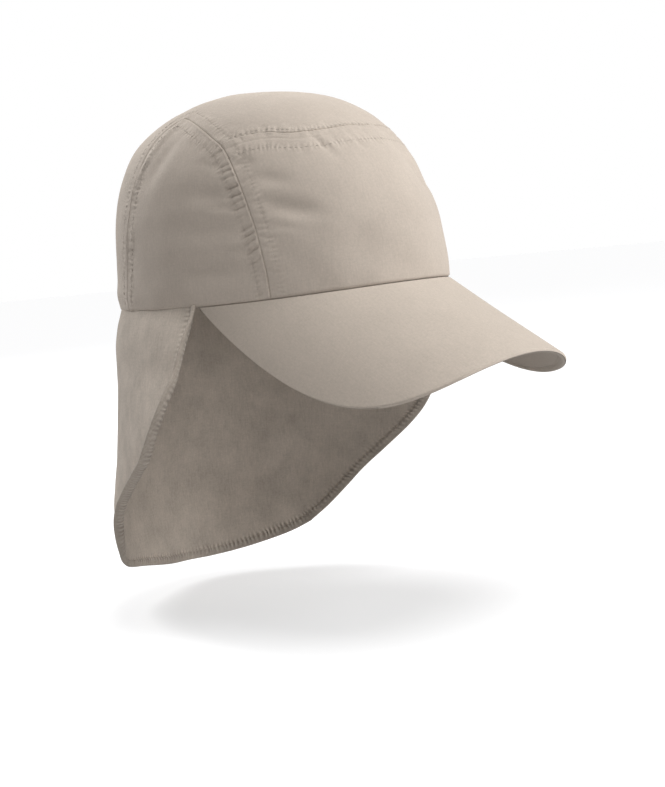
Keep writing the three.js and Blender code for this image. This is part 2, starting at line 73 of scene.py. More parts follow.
# Seam round a side panel: (degrees from the middle of the front, share of the crown's height)
SIDE_SEAM = [
    (56.5, 0.0), (57.2, 0.14), (59.0, 0.31), (61.5, 0.46), (64.8, 0.6), (68.9, 0.706), (75.3, 0.774),
    (82.3, 0.826), (90.8, 0.869), (98.6, 0.886), (105.5, 0.858), (110.5, 0.785), (112.5, 0.66),
    (114.0, 0.48), (116.0, 0.24), (118.0, 0.0),
]

# Share of that seam's length where the top seam meets it, and where its back run begins
FRONT_JOIN = 0.36
BACK_JOIN = 0.64

# Seam between the front panel and the top panel, for the wearer's right half
TOP_SEAM = [(59.0, 0.731), (50.5, 0.74), (41.0, 0.727), (30.5, 0.728), (18.0, 0.74), (0.0, 0.746)]

# Dents in the crown's cloth: turn, rise, length, breadth (shares of the crown's height), lean in
# degrees, and depth in millimetres; a depth below zero is a swelling
DENTS = [
    ("front_crease", 20, 0.56, 0.16, 0.075, -52, 1.7),
    ("front_notch", 33, 0.52, 0.1, 0.06, -20, 1.8),
    ("front_hollow_long", -47, 0.41, 0.15, 0.045, -12, 2.2),
    ("front_hollow_high", -53, 0.55, 0.09, 0.032, -8, 1.0),
    ("front_hollow_low", -24, 0.2, 0.14, 0.09, 25, 1.1),
    ("side_hollow_mid", -74, 0.5, 0.13, 0.04, -4, 1.4),
    ("side_hollow_long", -75, 0.35, 0.2, 0.05, -4, 1.8),
    ("side_hollow_low", -77, 0.17, 0.2, 0.05, -6, 2.0),
    ("side_hollow_back", -99, 0.7, 0.13, 0.05, 50, 0.9),
    ("left_hollow", 84, 0.42, 0.22, 0.055, 5, 1.3),
    ("left_hollow_low", 74, 0.2, 0.18, 0.05, 8, 1.4),
    ("right_shoulder", -136, 0.93, 0.34, 0.14, 0, 1.7),
    ("left_shoulder", 136, 0.93, 0.34, 0.14, 0, 1.7),
    ("right_rim_roll", -138, 0.07, 0.5, 0.055, 0, -1.2),
    ("left_rim_roll", 138, 0.07, 0.5, 0.055, 0, -1.2),
    ("back_hollow", 166, 0.46, 0.2, 0.055, -8, 1.4),
    ("back_hollow_low", -158, 0.24, 0.2, 0.05, 10, 1.2),
]

# Finer creases that run into the seams, with the same columns
CREASES = [
    ("side_crease_low", -67, 0.24, 0.1, 0.022, 3, 0.7),
    ("side_crease_mid", -70, 0.44, 0.08, 0.02, -4, 0.7),
    ("side_crease_high", -74, 0.64, 0.08, 0.02, -10, 0.5),
    ("front_crease_side", -62, 0.63, 0.06, 0.02, 0, 0.9),
    ("front_crease_low", -50, 0.33, 0.07, 0.02, -6, 0.5),
    ("top_seam_crease_one", -31, 0.7, 0.07, 0.016, -42, 0.8),
    ("top_seam_crease_two", -26, 0.69, 0.06, 0.014, -46, -0.5),
    ("top_seam_crease_three", -12, 0.7, 0.06, 0.016, -46, 0.6),
    ("side_fold_back", -105, 0.8, 0.13, 0.028, 54, -1.0),
    ("side_fold_low", -111, 0.66, 0.08, 0.028, 66, -0.8),
    ("left_crease", 68, 0.5, 0.12, 0.022, 5, 0.6),
]

# The flap's spread down its drop: shares of the flare at its sides, its back and its front edges
FLAP_SPREAD = [
    (0.0, 0.0, 0.0, 0.0), (0.05, 0.2, 0.18, 0.1), (0.1, 0.33, 0.28, 0.22), (0.21, 0.45, 0.32, 0.5),
    (0.29, 0.56, 0.36, 0.75), (0.48, 0.78, 0.52, 1.0), (0.6, 0.9, 0.78, 0.8), (0.7, 1.0, 1.0, 0.5),
    (0.78, 0.96, 0.98, 0.3), (0.86, 0.8, 0.82, 0.2), (1.0, 0.66, 0.66, 0.1),
]

# Free edges of the flap: (degrees from the middle of the back, share of the flap's drop)
FLAP_RIGHT_EDGE = [
    (97.0, 0.0), (98.0, 0.12), (97.4, 0.24), (94.8, 0.36), (89.2, 0.46), (81.4, 0.52), (72.8, 0.58),
    (65.6, 0.64), (60.4, 0.7), (57.0, 0.76), (53.4, 0.81), (46.5, 0.862),
]
FLAP_LEFT_EDGE = [
    (97.0, 0.0), (98.5, 0.12), (99.0, 0.24), (98.5, 0.36), (94.0, 0.46), (88.3, 0.54), (81.0, 0.62),
    (73.3, 0.7), (66.7, 0.78), (60.5, 0.85), (54.0, 0.908),
]
FLAP_HEM = [
    (-46.5, 0.862), (-40.0, 0.906), (-33.0, 0.935), (-20.0, 0.962), (-6.0, 0.988), (4.0, 0.996),
    (16.0, 1.0), (28.0, 0.988), (40.0, 0.962), (48.0, 0.937), (54.0, 0.908),
]

# Soft folds that open towards the flap's hem: (turn, breadth in degrees, share of the fold depth)
FLAP_FOLDS = [(-38, 13, 0.7), (-14, 10, -0.6), (14, 12, 1.0), (40, 11, -0.7)]


def length_property(label, text, default):
    """A length in metres that the panel shows with its unit."""
    return bpy.props.FloatProperty(
        name=label, description=text, default=default, subtype="DISTANCE", unit="LENGTH", precision=4
    )


def angle_property(label, text, degrees):
    """An angle, given in degrees and kept in radians."""
    return bpy.props.FloatProperty(
        name=label, description=text, default=degrees * DEGREE, subtype="ANGLE", unit="ROTATION"
    )


def colour_property(label, text, default):
    """A linear colour."""
    return bpy.props.FloatVectorProperty(
        name=label, description=text, default=default, size=3, min=0, max=1, subtype="COLOR"
    )


class CapCrownSizes(bpy.types.PropertyGroup):
    """Sizes of the crown and its rim"""

    half_width: length_property("Half width", "Half the width of the rim", 84.5 * MM)
    half_length: length_property("Half length", "Half the length of the rim", 103 * MM)
    height: length_property("Height", "Height of the crown above the rim", 116 * MM)
    lean: length_property("Lean", "How far the top leans to the back", 4.5 * MM)
    rim_rise: length_property("Rim rise", "Rise of the rim at the front", 4.3 * MM)
    cloth: length_property("Cloth", "Thickness of one layer of cloth", 0.9 * MM)
    allowance: length_property("Allowance", "Extra thickness of a seam's turnings", 0.6 * MM)
    stitch_row: length_property("Stitch row", "Distance of a stitch row from its seam", 6.2 * MM)


class CapVisorSizes(bpy.types.PropertyGroup):
    """Sizes of the visor"""

    reach: length_property("Reach", "Length of the visor in front of the rim", 65.6 * MM)
    droop: length_property("Droop", "Fall of the visor from its middle to its corners", 57 * MM)
    wall: length_property("Wall", "Thickness of the visor", 2.6 * MM)
    corner: angle_property("Corner", "Turn of the visor's corners from the front", 80.95)
    bend: angle_property("Bend", "Bend of the visor from its middle to a corner", 66.2)
    cheek: angle_property("Cheek", "Extra bend of the visor's edge half way round", 12)
    binding: length_property("Binding", "Distance of the stitch row below from the edge", 4.5 * MM)


class CapFlapSizes(bpy.types.PropertyGroup):
    """Sizes of the neck flap"""

    drop: length_property("Drop", "Length of the flap below the rim", 165 * MM)
    wall: length_property("Wall", "Thickness of the flap's cloth", 1.2 * MM)
    side_flare: length_property("Side flare", "How far its sides stand out", 18 * MM)
    back_flare: length_property("Back flare", "How far its back stands out", 13 * MM)
    front_flare: length_property("Front flare", "How far its front edges stand out", 17 * MM)
    fold_depth: length_property("Fold depth", "Depth of the soft folds at the hem", 2.6 * MM)
    hem: length_property("Hem", "Width of the turned hem", 4.8 * MM)


class CapLooks(bpy.types.PropertyGroup):
    """Colours and sizes of the cloth"""

    crown_colour: colour_property("Crown", "Colour of the crown's cotton", (0.475, 0.412, 0.353))
    visor_colour: colour_property("Visor", "Colour of the visor's cotton", (0.46, 0.4, 0.342))
    flap_colour: colour_property("Flap", "Colour of the flap's cotton", (0.45, 0.392, 0.335))
    band_colour: colour_property("Sweatband", "Colour of the sweatband", (0.40, 0.345, 0.29))
    thread_colour: colour_property("Thread", "Colour of the sewing thread", (0.47, 0.412, 0.357))
    weave_pitch: length_property("Weave", "Distance between two threads", 0.42 * MM)


class CapStage(bpy.types.PropertyGroup):
    """Floor, light and camera"""

    floor_gap: length_property("Floor gap", "Space between the flap's hem and the floor", 12 * MM)
    floor_radius: length_property("Floor radius", "Radius of the round floor", 12.0)
    azimuth: angle_property("Azimuth", "Turn of the camera from the front", -48.54)
    elevation: angle_property("Elevation", "Height of the camera above the horizon", 5.38)
    roll: angle_property("Roll", "Tilt of the camera", 5.26)
    distance: length_property("Distance", "Distance of the camera", 0.9)
    pan_across: length_property("Pan across", "Shift of the camera to the left", 28.46 * MM)
    pan_up: length_property("Pan up", "Shift of the camera downwards", 52.17 * MM)
    aim_height: length_property("Aim height", "Height of the point that it aims at", -4.2 * MM)
    lens: bpy.props.FloatProperty(name="Lens", description="Focal length in millimetres", default=71.18)


GROUPS = {
    "cap_crown": CapCrownSizes,
    "cap_visor": CapVisorSizes,
    "cap_flap": CapFlapSizes,
    "cap_looks": CapLooks,
    "cap_stage": CapStage,
}


# Curves and surfaces
def unit(vectors):
    """Vectors of length one."""
    return vectors / np.maximum(np.linalg.norm(vectors, axis=-1, keepdims=True), 1e-12)


def smooth_step(value, low, high):
    """0 below low, 1 above high, and a smooth rise between them."""
    share = np.clip((value - low) / (high - low), 0, 1)
    return share * share * (3 - 2 * share)


def bell(value, width):
    """1 at zero, falling off over width."""
    return np.exp(-((value / width) ** 2))


def curve_through(rows, shares):
    """Points at shares of the rows on the smooth curve through them."""
    points = np.array(rows, float)
    last = len(points) - 1
    at = np.clip(shares, 0, 1) * last
    low = np.minimum(np.floor(at).astype(int), last - 1)
    t = (at - low)[:, None]
    before, start, end, after = (points[np.clip(low + k, 0, last)] for k in (-1, 0, 1, 2))
    leave = (end - before) / 2
    arrive = (after - start) / 2
    cubic = 2 * (start - end) + leave + arrive
    square = 3 * (end - start) - 2 * leave - arrive
    return ((cubic * t + square) * t + leave) * t + start


def evenly(rows, shares):
    """Points at shares of the length of the smooth curve through the rows."""
    fine = np.linspace(0, 1, 1201)
    points = curve_through(rows, fine)
    lengths = run_length(points)
    return curve_through(rows, np.interp(np.asarray(shares) * lengths[-1], lengths, fine))


def run_length(points):
    """Length along a line of points, from its start."""
    steps = np.linalg.norm(np.diff(points, axis=0), axis=1)
    return np.concatenate([[0.0], np.cumsum(steps)])


def table_value(rows, column, at):
    """A column of a table at places between its rows, on a smooth curve."""
    table = np.array(rows, float)
    keys, values = table[:, 0], table[:, column]
    slopes = np.gradient(values, keys)
    low = np.clip(np.searchsorted(keys, at) - 1, 0, len(keys) - 2)
    gap = keys[low + 1] - keys[low]
    t = np.clip((at - keys[low]) / gap, 0, 1)
    rise = values[low] * (2 * t**3 - 3 * t**2 + 1) + values[low + 1] * (3 * t**2 - 2 * t**3)
    return rise + gap * (slopes[low] * (t**3 - 2 * t**2 + t) + slopes[low + 1] * (t**3 - t**2))


def patch(bottom, top, left, right, u, v):
    """Grid over four edges that share their corners, with its rows at v and its columns at u."""
    u = u[None, :, None]
    v = v[:, None, None]
    corners = (
        bottom[0] * (1 - u) * (1 - v) + bottom[-1] * u * (1 - v)
        + top[0] * (1 - u) * v + top[-1] * u * v
    )
    across = bottom[None] * (1 - v) + top[None] * v
    along = left[:, None] * (1 - u) + right[:, None] * u
    return across + along - corners


def close_steps(length, fine, coarse, margin):
    """Shares from 0 to 1 along a length, close together near both ends."""
    near = np.arange(0, margin, fine)
    middle = np.linspace(margin, length - margin, max(int((length - 2 * margin) / coarse), 2) + 1)
    places = np.concatenate([near, middle, length - near[::-1]])
    return places / length


def cloth_coordinates(grid):
    """Places on the flat cloth in metres: along each row, and along the middle column."""
    middle = grid.shape[1] // 2
    steps = np.linalg.norm(np.diff(grid, axis=1), axis=2)
    across = np.concatenate([np.zeros((len(grid), 1)), np.cumsum(steps, axis=1)], axis=1)
    across -= across[:, middle : middle + 1]
    along = run_length(grid[:, middle])
    return np.dstack([across, np.repeat(along[:, None], grid.shape[1], axis=1)])


class Seam:
    """A line that cloth is measured from: the distance to it and the place along it."""

    def __init__(self, points):
        self.points = points
        self.lengths = run_length(points)
        self.tangents = unit(np.gradient(points, axis=0))
        self.tree = kdtree.KDTree(len(points))
        for index, point in enumerate(points):
            self.tree.insert(point, index)
        self.tree.balance()

    def measure(self, spots):
        """Distance from the line and length along it, for each spot."""
        flat = spots.reshape(-1, 3)
        nearest = np.array([self.tree.find(spot)[1] for spot in flat])
        offset = flat - self.points[nearest]
        ahead = np.sum(offset * self.tangents[nearest], axis=1)
        away = np.linalg.norm(offset - ahead[:, None] * self.tangents[nearest], axis=1)
        along = self.lengths[nearest] + ahead
        return away.reshape(spots.shape[:-1]), along.reshape(spots.shape[:-1])


def pinches(along, pitch, phase):
    """Uneven gathers along a seam: 0 where the cloth is flat, up to 1 where it is pinched."""
    beat = TAU * along / pitch + 1.4 * np.sin(TAU * along / (4.3 * pitch) + phase)
    strength = 0.55 + 0.28 * np.sin(TAU * along / (7.1 * pitch) + 2.1 * phase)
    strength += 0.17 * np.sin(TAU * along / (2.7 * pitch) + 0.6 * phase)
    return (0.5 + 0.5 * np.sin(beat)) ** 3 * strength


def waviness(spots, size, seed):
    """Soft uneven height between about -1 and 1 over the cloth."""
    flat = spots.reshape(-1, 3) / size + seed
    values = np.array([noise.noise(Vector(spot)) for spot in flat])
    return values.reshape(spots.shape[:-1])


# A seam as a panel sees it: its line, the height of the fold beside it, the depth of its groove and
# of its gathers, where the gathers start, and whether the seam climbs from the rim
Edge = namedtuple("Edge", "line ridge groove gather phase from_rim")

GATHER_PITCH = 4.5 * MM


class Crown:
    """The crown's outer surface, its rim and its seams."""

    def __init__(self, sizes):
        self.sizes = sizes
        self.side_seam = {side: Seam(self.side_run(0, 1, 1400, side)) for side in (-1, 1)}
        self.top_seam = Seam(self.top_run(np.linspace(0, 1, 700)))

    def rim_height(self, turn):
        """Height of the rim at a turn from the middle of the front."""
        return self.sizes.rim_rise * np.maximum(np.cos(turn), 0) ** 2

    def form(self, turn):
        """Profile and fullness of the crown at a turn from the middle of the front."""
        facing = np.cos(turn)
        weights = {"front": np.maximum(facing, 0) ** 2, "back": np.maximum(-facing, 0) ** 2}
        weights["side"] = 1 - weights["front"] - weights["back"]
        return tuple(sum(weights[key] * CROWN_FORM[key][k] for key in weights) for k in (0, 1))

    def spot(self, turn, height):
        """Point of the crown at a turn from the front and a height above the rim plane."""
        rise = np.clip(height / self.sizes.height, 0, 1)
        profile, fullness = self.form(turn)
        share = np.maximum(1 - rise**profile, 0) ** (1 / fullness)
        x = self.sizes.half_width * np.sin(turn) * share
        y = self.sizes.lean * rise**2 - self.sizes.half_length * np.cos(turn) * share
        return np.stack([x, y, np.asarray(height) + 0 * x], axis=-1)

    def level(self, spots):
        """Zero on the crown, negative inside."""
        rise = np.maximum(spots[..., 2] / self.sizes.height, 0)
        across = spots[..., 0] / self.sizes.half_width
        along = (spots[..., 1] - self.sizes.lean * rise**2) / self.sizes.half_length
        profile, fullness = self.form(np.arctan2(across, -along))
        return np.hypot(across, along) ** fullness + rise**profile - 1

    def normal(self, spots):
        """Outward direction at points of the crown."""
        reach = 0.2 * MM
        steps = np.eye(3) * reach
        return unit(np.stack([self.level(spots + s) - self.level(spots - s) for s in steps], axis=-1))

    def cast(self, spots):
        """Points of the crown on the lines from the middle of its hollow through the spots."""
        heart = np.array([0, self.sizes.lean / 2, self.sizes.height / 4])
        rays = spots - heart
        near = np.zeros(spots.shape[:-1])
        far = np.full(spots.shape[:-1], 3.0)
        for _ in range(40):
            middle = (near + far) / 2
            inside = self.level(heart + rays * middle[..., None]) < 0
            near = np.where(inside, middle, near)
            far = np.where(inside, far, middle)
        return heart + rays * near[..., None]

    def side_run(self, start, end, count, side):
        """Points along a side seam, from one share of its length to another."""
        rows = [(turn, rise * self.sizes.height / MM) for turn, rise in SIDE_SEAM]
        flat = evenly(rows, np.linspace(start, end, count))
        turn, height = flat[:, 0] * DEGREE, flat[:, 1] * MM
        fade = np.maximum(0, 1 - height / (self.sizes.height / 2))
        return self.spot(side * turn, height + self.rim_height(turn) * fade)

    def top_run(self, shares):
        """Points along the top seam, from the wearer's right to the left."""
        rows = [(turn, rise * self.sizes.height / MM) for turn, rise in SIDE_SEAM]
        joint = evenly(rows, [FRONT_JOIN])[0]
        half = [tuple(joint)] + [(turn, rise * self.sizes.height / MM) for turn, rise in TOP_SEAM]
        whole = half + [(-turn, height) for turn, height in half[-2::-1]]
        flat = evenly(whole, shares)
        return self.spot(-flat[:, 0] * DEGREE, flat[:, 1] * MM)

    def rim_run(self, start, end, shares):
        """Points along the rim between two turns in degrees."""
        turn = (start + (end - start) * shares) * DEGREE
        return self.spot(turn, self.rim_height(turn))

    def dent_depth(self, spots):
        """Depth of the dents and creases, in metres."""
        rise = spots[..., 2] / self.sizes.height
        turn = np.arctan2(spots[..., 0] / self.sizes.half_width, -spots[..., 1] / self.sizes.half_length)
        depth = np.zeros(spots.shape[:-1])
        for _, at, height, length, breadth, lean, deep in DENTS + CREASES:
            swing = turn - at * DEGREE
            swing = np.arctan2(np.sin(swing), np.cos(swing))
            across = swing * self.sizes.half_length / self.sizes.height
            up = rise - height
            ahead = across * math.cos(lean * DEGREE) + up * math.sin(lean * DEGREE)
            aside = up * math.cos(lean * DEGREE) - across * math.sin(lean * DEGREE)
            depth += deep * MM * bell(ahead, length) * bell(aside, breadth)
        from_axis = np.hypot(spots[..., 0], spots[..., 1] - self.sizes.lean) / self.sizes.half_width
        return depth * smooth_step(from_axis, 0.1, 0.5)

    def over_edge(self, side):
        """A side seam as the side panel sees it, whose turning lies on top."""
        return Edge(self.side_seam[side], 0.12 * MM, 0.3 * MM, 1.7 * MM, 0.9, True)

    def under_edge(self, side):
        """A side seam as the front panel and the top panel see it."""
        return Edge(self.side_seam[side], 0.0, 0.5 * MM, 0.45 * MM, 0.4 if side < 0 else 2.9, True)

    def top_edge(self):
        """The seam between the front panel and the top panel."""
        return Edge(self.top_seam, 0.0, 0.45 * MM, 0.55 * MM, 1.7, False)

    def seam_relief(self, away, along, seam):
        """Height of the cloth beside a seam: its fold, its turnings, its stitch row and gathers."""
        row = self.sizes.stitch_row
        fold = seam.ridge * bell(away - 0.9 * MM, 0.7 * MM) - seam.groove * bell(away, 0.5 * MM)
        turnings = 0.16 * MM * (1 - smooth_step(away, row, row + 3 * MM))
        stitched = 0.1 * MM * bell(away - row, 0.6 * MM)
        skew = away * (0.1 + 0.25 * np.sin(along / (19 * MM) + seam.phase))
        spread = smooth_step(away, 0.2 * MM, 1.6 * MM)
        long_gathers = spread * (1 - smooth_step(away, row - 1 * MM, row + 5 * MM))
        long_gathers *= pinches(along + skew, GATHER_PITCH, seam.phase)
        short_gathers = bell(away - row, 1.7 * MM) * pinches(along - 3 * skew, 2.9 * MM, seam.phase + 1)
        return fold + turnings - stitched - seam.gather * long_gathers - 0.3 * MM * short_gathers

    def relief(self, spots, beside):
        """Height of the cloth over the crown, with the seams that lie beside a panel."""
        height = 0.42 * MM * waviness(spots, 16 * MM, 3.7) + 0.7 * MM * waviness(spots, 45 * MM, 8.2)
        height -= self.dent_depth(spots)
        allowance = np.zeros(spots.shape[:-1])
        nearest = np.full(spots.shape[:-1] + (2,), 1.0)
        crumple = 0.34 * MM * waviness(spots, 4.5 * MM, 0.3)
        for edge in beside:
            away, along = edge.line.measure(spots)
            from_rim = np.minimum(along, edge.line.lengths[-1] - along)
            low_end = smooth_step(from_rim, 8 * MM, 18 * MM)
            gathered = low_end * (1 - smooth_step(from_rim, 78 * MM, 98 * MM))
            here = np.stack([along, away], axis=-1)
            nearest = np.where(away[..., None] < nearest[..., 1:], here, nearest)
            strength = 0.8
            if edge.from_rim:
                at_back = smooth_step(along, 0.45 * edge.line.lengths[-1], 0.6 * edge.line.lengths[-1])
                strength = (0.3 + 0.7 * gathered) * (1 - 0.75 * at_back)
            height += self.seam_relief(away, along, edge._replace(gather=edge.gather * strength))
            height += crumple * bell(away - self.sizes.stitch_row, 5 * MM)
            allowance = np.maximum(allowance, 1 - smooth_step(away, self.sizes.stitch_row, 8.5 * MM))
        return height, allowance, nearest


# Meshes
def boundary(columns, rows):
    """Grid places round the outline of a grid, anticlockwise."""
    loop = [(i, 0) for i in range(columns)] + [(columns, j) for j in range(rows)]
    loop += [(i, rows) for i in range(columns, 0, -1)] + [(0, j) for j in range(rows, 0, -1)]
    return loop


def shell_mesh(name, outer, inner, cloth, beside=None):
    """Closed cloth wall between an outer and an inner grid, with its flat cloth coordinates.

    beside holds, for each spot, the place along the nearest stitched edge and the distance to it.
    """
    rows, columns = outer.shape[0] - 1, outer.shape[1] - 1
    width = columns + 1
    count = outer.shape[0] * outer.shape[1]
    vertices = np.concatenate([outer.reshape(-1, 3), inner.reshape(-1, 3)])
    i, j = np.meshgrid(np.arange(columns), np.arange(rows))
    first = (j * width + i).ravel()
    front = np.stack([first, first + 1, first + 1 + width, first + width], axis=1)
    back = front[:, ::-1] + count
    loop = np.array([row * width + column for column, row in boundary(columns, rows)])
    after = np.roll(loop, -1)
    wall = np.stack([loop, loop + count, after + count, after], axis=1)
    faces = np.concatenate([front, back, wall])
    maps = {"cloth": np.concatenate([cloth.reshape(-1, 2)] * 2)}
    if beside is not None:
        maps["edge"] = np.concatenate([beside.reshape(-1, 2)] * 2)
    return make_mesh(name, vertices, faces, maps)


def ring_mesh(name, outer, inner, cloth):
    """Closed band between two grids whose columns run right round."""
    rows, round_count = outer.shape[0] - 1, outer.shape[1]
    count = outer.shape[0] * outer.shape[1]
    vertices = np.concatenate([outer.reshape(-1, 3), inner.reshape(-1, 3)])
    i, j = np.meshgrid(np.arange(round_count), np.arange(rows))
    here = (j * round_count + i).ravel()
    beyond = (j * round_count + (i + 1) % round_count).ravel()
    front = np.stack([here, beyond, beyond + round_count, here + round_count], axis=1)
    back = front[:, ::-1] + count
    foot = np.arange(round_count)
    foot_next = (foot + 1) % round_count
    head, head_next = foot + rows * round_count, foot_next + rows * round_count
    low = np.stack([foot, foot + count, foot_next + count, foot_next], axis=1)
    high = np.stack([head_next, head_next + count, head + count, head], axis=1)
    faces = np.concatenate([front, back, low, high])
    return make_mesh(name, vertices, faces, {"cloth": np.concatenate([cloth.reshape(-1, 2)] * 2)})


def make_mesh(name, vertices, faces, maps):
    """Smooth mesh object with its UV maps, given by name as one row per vertex."""
    mesh = bpy.data.meshes.new(name)
    mesh.from_pydata(vertices.tolist(), [], faces.tolist())
    corners = np.zeros(len(mesh.loops), int)
    mesh.loops.foreach_get("vertex_index", corners)
    for label, rows in maps.items():
        layer = mesh.uv_layers.new(name=label)
        layer.data.foreach_set("uv", rows[corners].astype(np.float32).ravel())
    mesh.polygons.foreach_set("use_smooth", np.ones(len(mesh.polygons), bool))
    mesh.update()
    piece = bpy.data.objects.new(name, mesh)
    bpy.context.scene.collection.objects.link(piece)
    return piece


def stitch_mesh(name, runs, size):
    """Sewing thread as one mesh: each run is (points, normals) along which stitches lie in a row."""
    length, gap, radius = size
    sides, rings = 6, 6
    vertices, faces, cloth = [], [], []
    for points, normals in runs:
        lengths = run_length(points)
        for k in range(int((lengths[-1] - gap) / (length + gap))):
            start = gap + k * (length + gap)
            share = np.linspace(0, 1, rings)
            at = start + length * share
            centre = np.stack([np.interp(at, lengths, points[:, axis]) for axis in range(3)], axis=1)
            normal = unit(np.stack([np.interp(at, lengths, normals[:, axis]) for axis in range(3)], axis=1))
            ahead = unit(np.gradient(centre, axis=0))
            aside = unit(np.cross(ahead, normal))
            arch = np.sin(math.pi * share)
            centre = centre + normal * (radius * (1.5 * arch - 0.75))[:, None]
            wide = radius * (0.45 + 0.55 * arch**0.5)
            base = len(vertices)
            for ring in range(rings):
                for side in range(sides):
                    turn = TAU * side / sides
                    offset = aside[ring] * math.cos(turn) + normal[ring] * math.sin(turn)
                    vertices.append(centre[ring] + offset * wide[ring])
                    cloth.append((radius * turn, at[ring]))
            for ring in range(rings - 1):
                for side in range(sides):
                    low = base + ring * sides
                    beyond = (side + 1) % sides
                    faces.append((low + side, low + sides + side, low + sides + beyond, low + beyond))
            faces.append(tuple(base + side for side in range(sides)))
            faces.append(tuple(base + (rings - 1) * sides + side for side in reversed(range(sides))))
    mesh = bpy.data.meshes.new(name)
    mesh.from_pydata([tuple(v) for v in vertices], [], faces)
    layer = mesh.uv_layers.new(name="cloth")
    for loop in mesh.loops:
        layer.data[loop.index].uv = cloth[loop.vertex_index]
    mesh.polygons.foreach_set("use_smooth", np.ones(len(mesh.polygons), bool))
    mesh.update()
    piece = bpy.data.objects.new(name, mesh)
    bpy.context.scene.collection.objects.link(piece)
    return piece


# Shader node groups and materials
def group_tree(name, inputs, outputs):
    """New shader node group with named sockets, each given as (name, kind, default)."""
    tree = bpy.data.node_groups.new(name, "ShaderNodeTree")
    for label, kind, value in inputs:
        socket = tree.interface.new_socket(label, in_out="INPUT", socket_type=kind)
        if value is not None:
            socket.default_value = value
    for label, kind in outputs:
        tree.interface.new_socket(label, in_out="OUTPUT", socket_type=kind)
    return tree, tree.nodes.new("NodeGroupInput"), tree.nodes.new("NodeGroupOutput")


def math_node(tree, operation, *values):
    """Output of a Math node whose inputs are sockets or numbers."""
    node = tree.nodes.new("ShaderNodeMath")
    node.operation = operation
    for socket, value in zip(node.inputs, values):
        if isinstance(value, bpy.types.NodeSocket):
            tree.links.new(value, socket)
        else:
            socket.default_value = value
    return node.outputs[0]


def noise_node(tree, vector, scale, detail, roughness=0.5):
    """Output of a Noise Texture node, from 0 to 1."""
    node = tree.nodes.new("ShaderNodeTexNoise")
    node.inputs["Scale"].default_value = scale
    node.inputs["Detail"].default_value = detail
    node.inputs["Roughness"].default_value = roughness
    tree.links.new(vector, node.inputs["Vector"])
    return node.outputs["Fac"]


def weave_group():
    """Plain weave: warp and weft threads that pass over and under each other in turn."""
    tree, start, end = group_tree(
        "plain_weave",
        [("Cloth", "NodeSocketVector", None), ("Pitch", "NodeSocketFloat", 0.0004)],
        [("Height", "NodeSocketFloat"), ("Shade", "NodeSocketFloat")],
    )
    split = tree.nodes.new("ShaderNodeSeparateXYZ")
    tree.links.new(start.outputs["Cloth"], split.inputs[0])
    waves = []
    for axis in ("X", "Y"):
        count = math_node(tree, "DIVIDE", split.outputs[axis], start.outputs["Pitch"])
        waves.append(math_node(tree, "SINE", math_node(tree, "MULTIPLY", count, math.pi)))
    threads = []
    for own, other, flip in ((waves[0], waves[1], 0.5), (waves[1], waves[0], -0.5)):
        turn = math_node(tree, "MULTIPLY", math_node(tree, "SIGN", own), other)
        over = math_node(tree, "MULTIPLY_ADD", turn, flip, 0.5)
        threads.append(math_node(tree, "MULTIPLY", math_node(tree, "ABSOLUTE", own), over))
    height = math_node(tree, "MAXIMUM", threads[0], threads[1])
    # Shade is painted shade: it falls where a thread dips under its neighbour
    shade = math_node(tree, "SMOOTH_MIN", math_node(tree, "MULTIPLY", height, 1.6), 1.0, 0.3)
    tree.links.new(height, end.inputs["Height"])
    tree.links.new(shade, end.inputs["Shade"])
    return tree


def tone_group():
    """Uneven tone of dyed cotton: soft blotches, and slubs that run along the warp."""
    tree, start, end = group_tree(
        "cotton_tone",
        [
            ("Place", "NodeSocketVector", None),
            ("Cloth", "NodeSocketVector", None),
            ("Blotches", "NodeSocketFloat", 0.05),
            ("Slubs", "NodeSocketFloat", 0.05),
            ("Grain", "NodeSocketFloat", 0.05),
        ],
        [("Tone", "NodeSocketFloat"), ("Height", "NodeSocketFloat")],
    )
    blotch = noise_node(tree, start.outputs["Place"], 55.0, 5.0, 0.62)
    stretch = tree.nodes.new("ShaderNodeMapping")
    stretch.inputs["Scale"].default_value = (1.0, 0.09, 1.0)
    tree.links.new(start.outputs["Cloth"], stretch.inputs["Vector"])
    slub = noise_node(tree, stretch.outputs[0], 1300.0, 2.0)
    crossed = tree.nodes.new("ShaderNodeMapping")
    crossed.inputs["Scale"].default_value = (0.14, 1.0, 1.0)
    tree.links.new(start.outputs["Cloth"], crossed.inputs["Vector"])
    weft = noise_node(tree, crossed.outputs[0], 1300.0, 2.0)
    grain = noise_node(tree, start.outputs["Place"], 900.0, 3.0)
    tone = 1.0
    parts = ((blotch, "Blotches", 2.0), (slub, "Slubs", 2.0), (weft, "Slubs", 1.0), (grain, "Grain", 2.0))
    for value, label, gain in parts:
        centred = math_node(tree, "MULTIPLY", math_node(tree, "SUBTRACT", value, 0.5), gain)
        tone = math_node(tree, "MULTIPLY_ADD", centred, start.outputs[label], tone)
    height = math_node(tree, "ADD", slub, weft)
    tree.links.new(tone, end.inputs["Tone"])
    tree.links.new(height, end.inputs["Height"])
    return tree


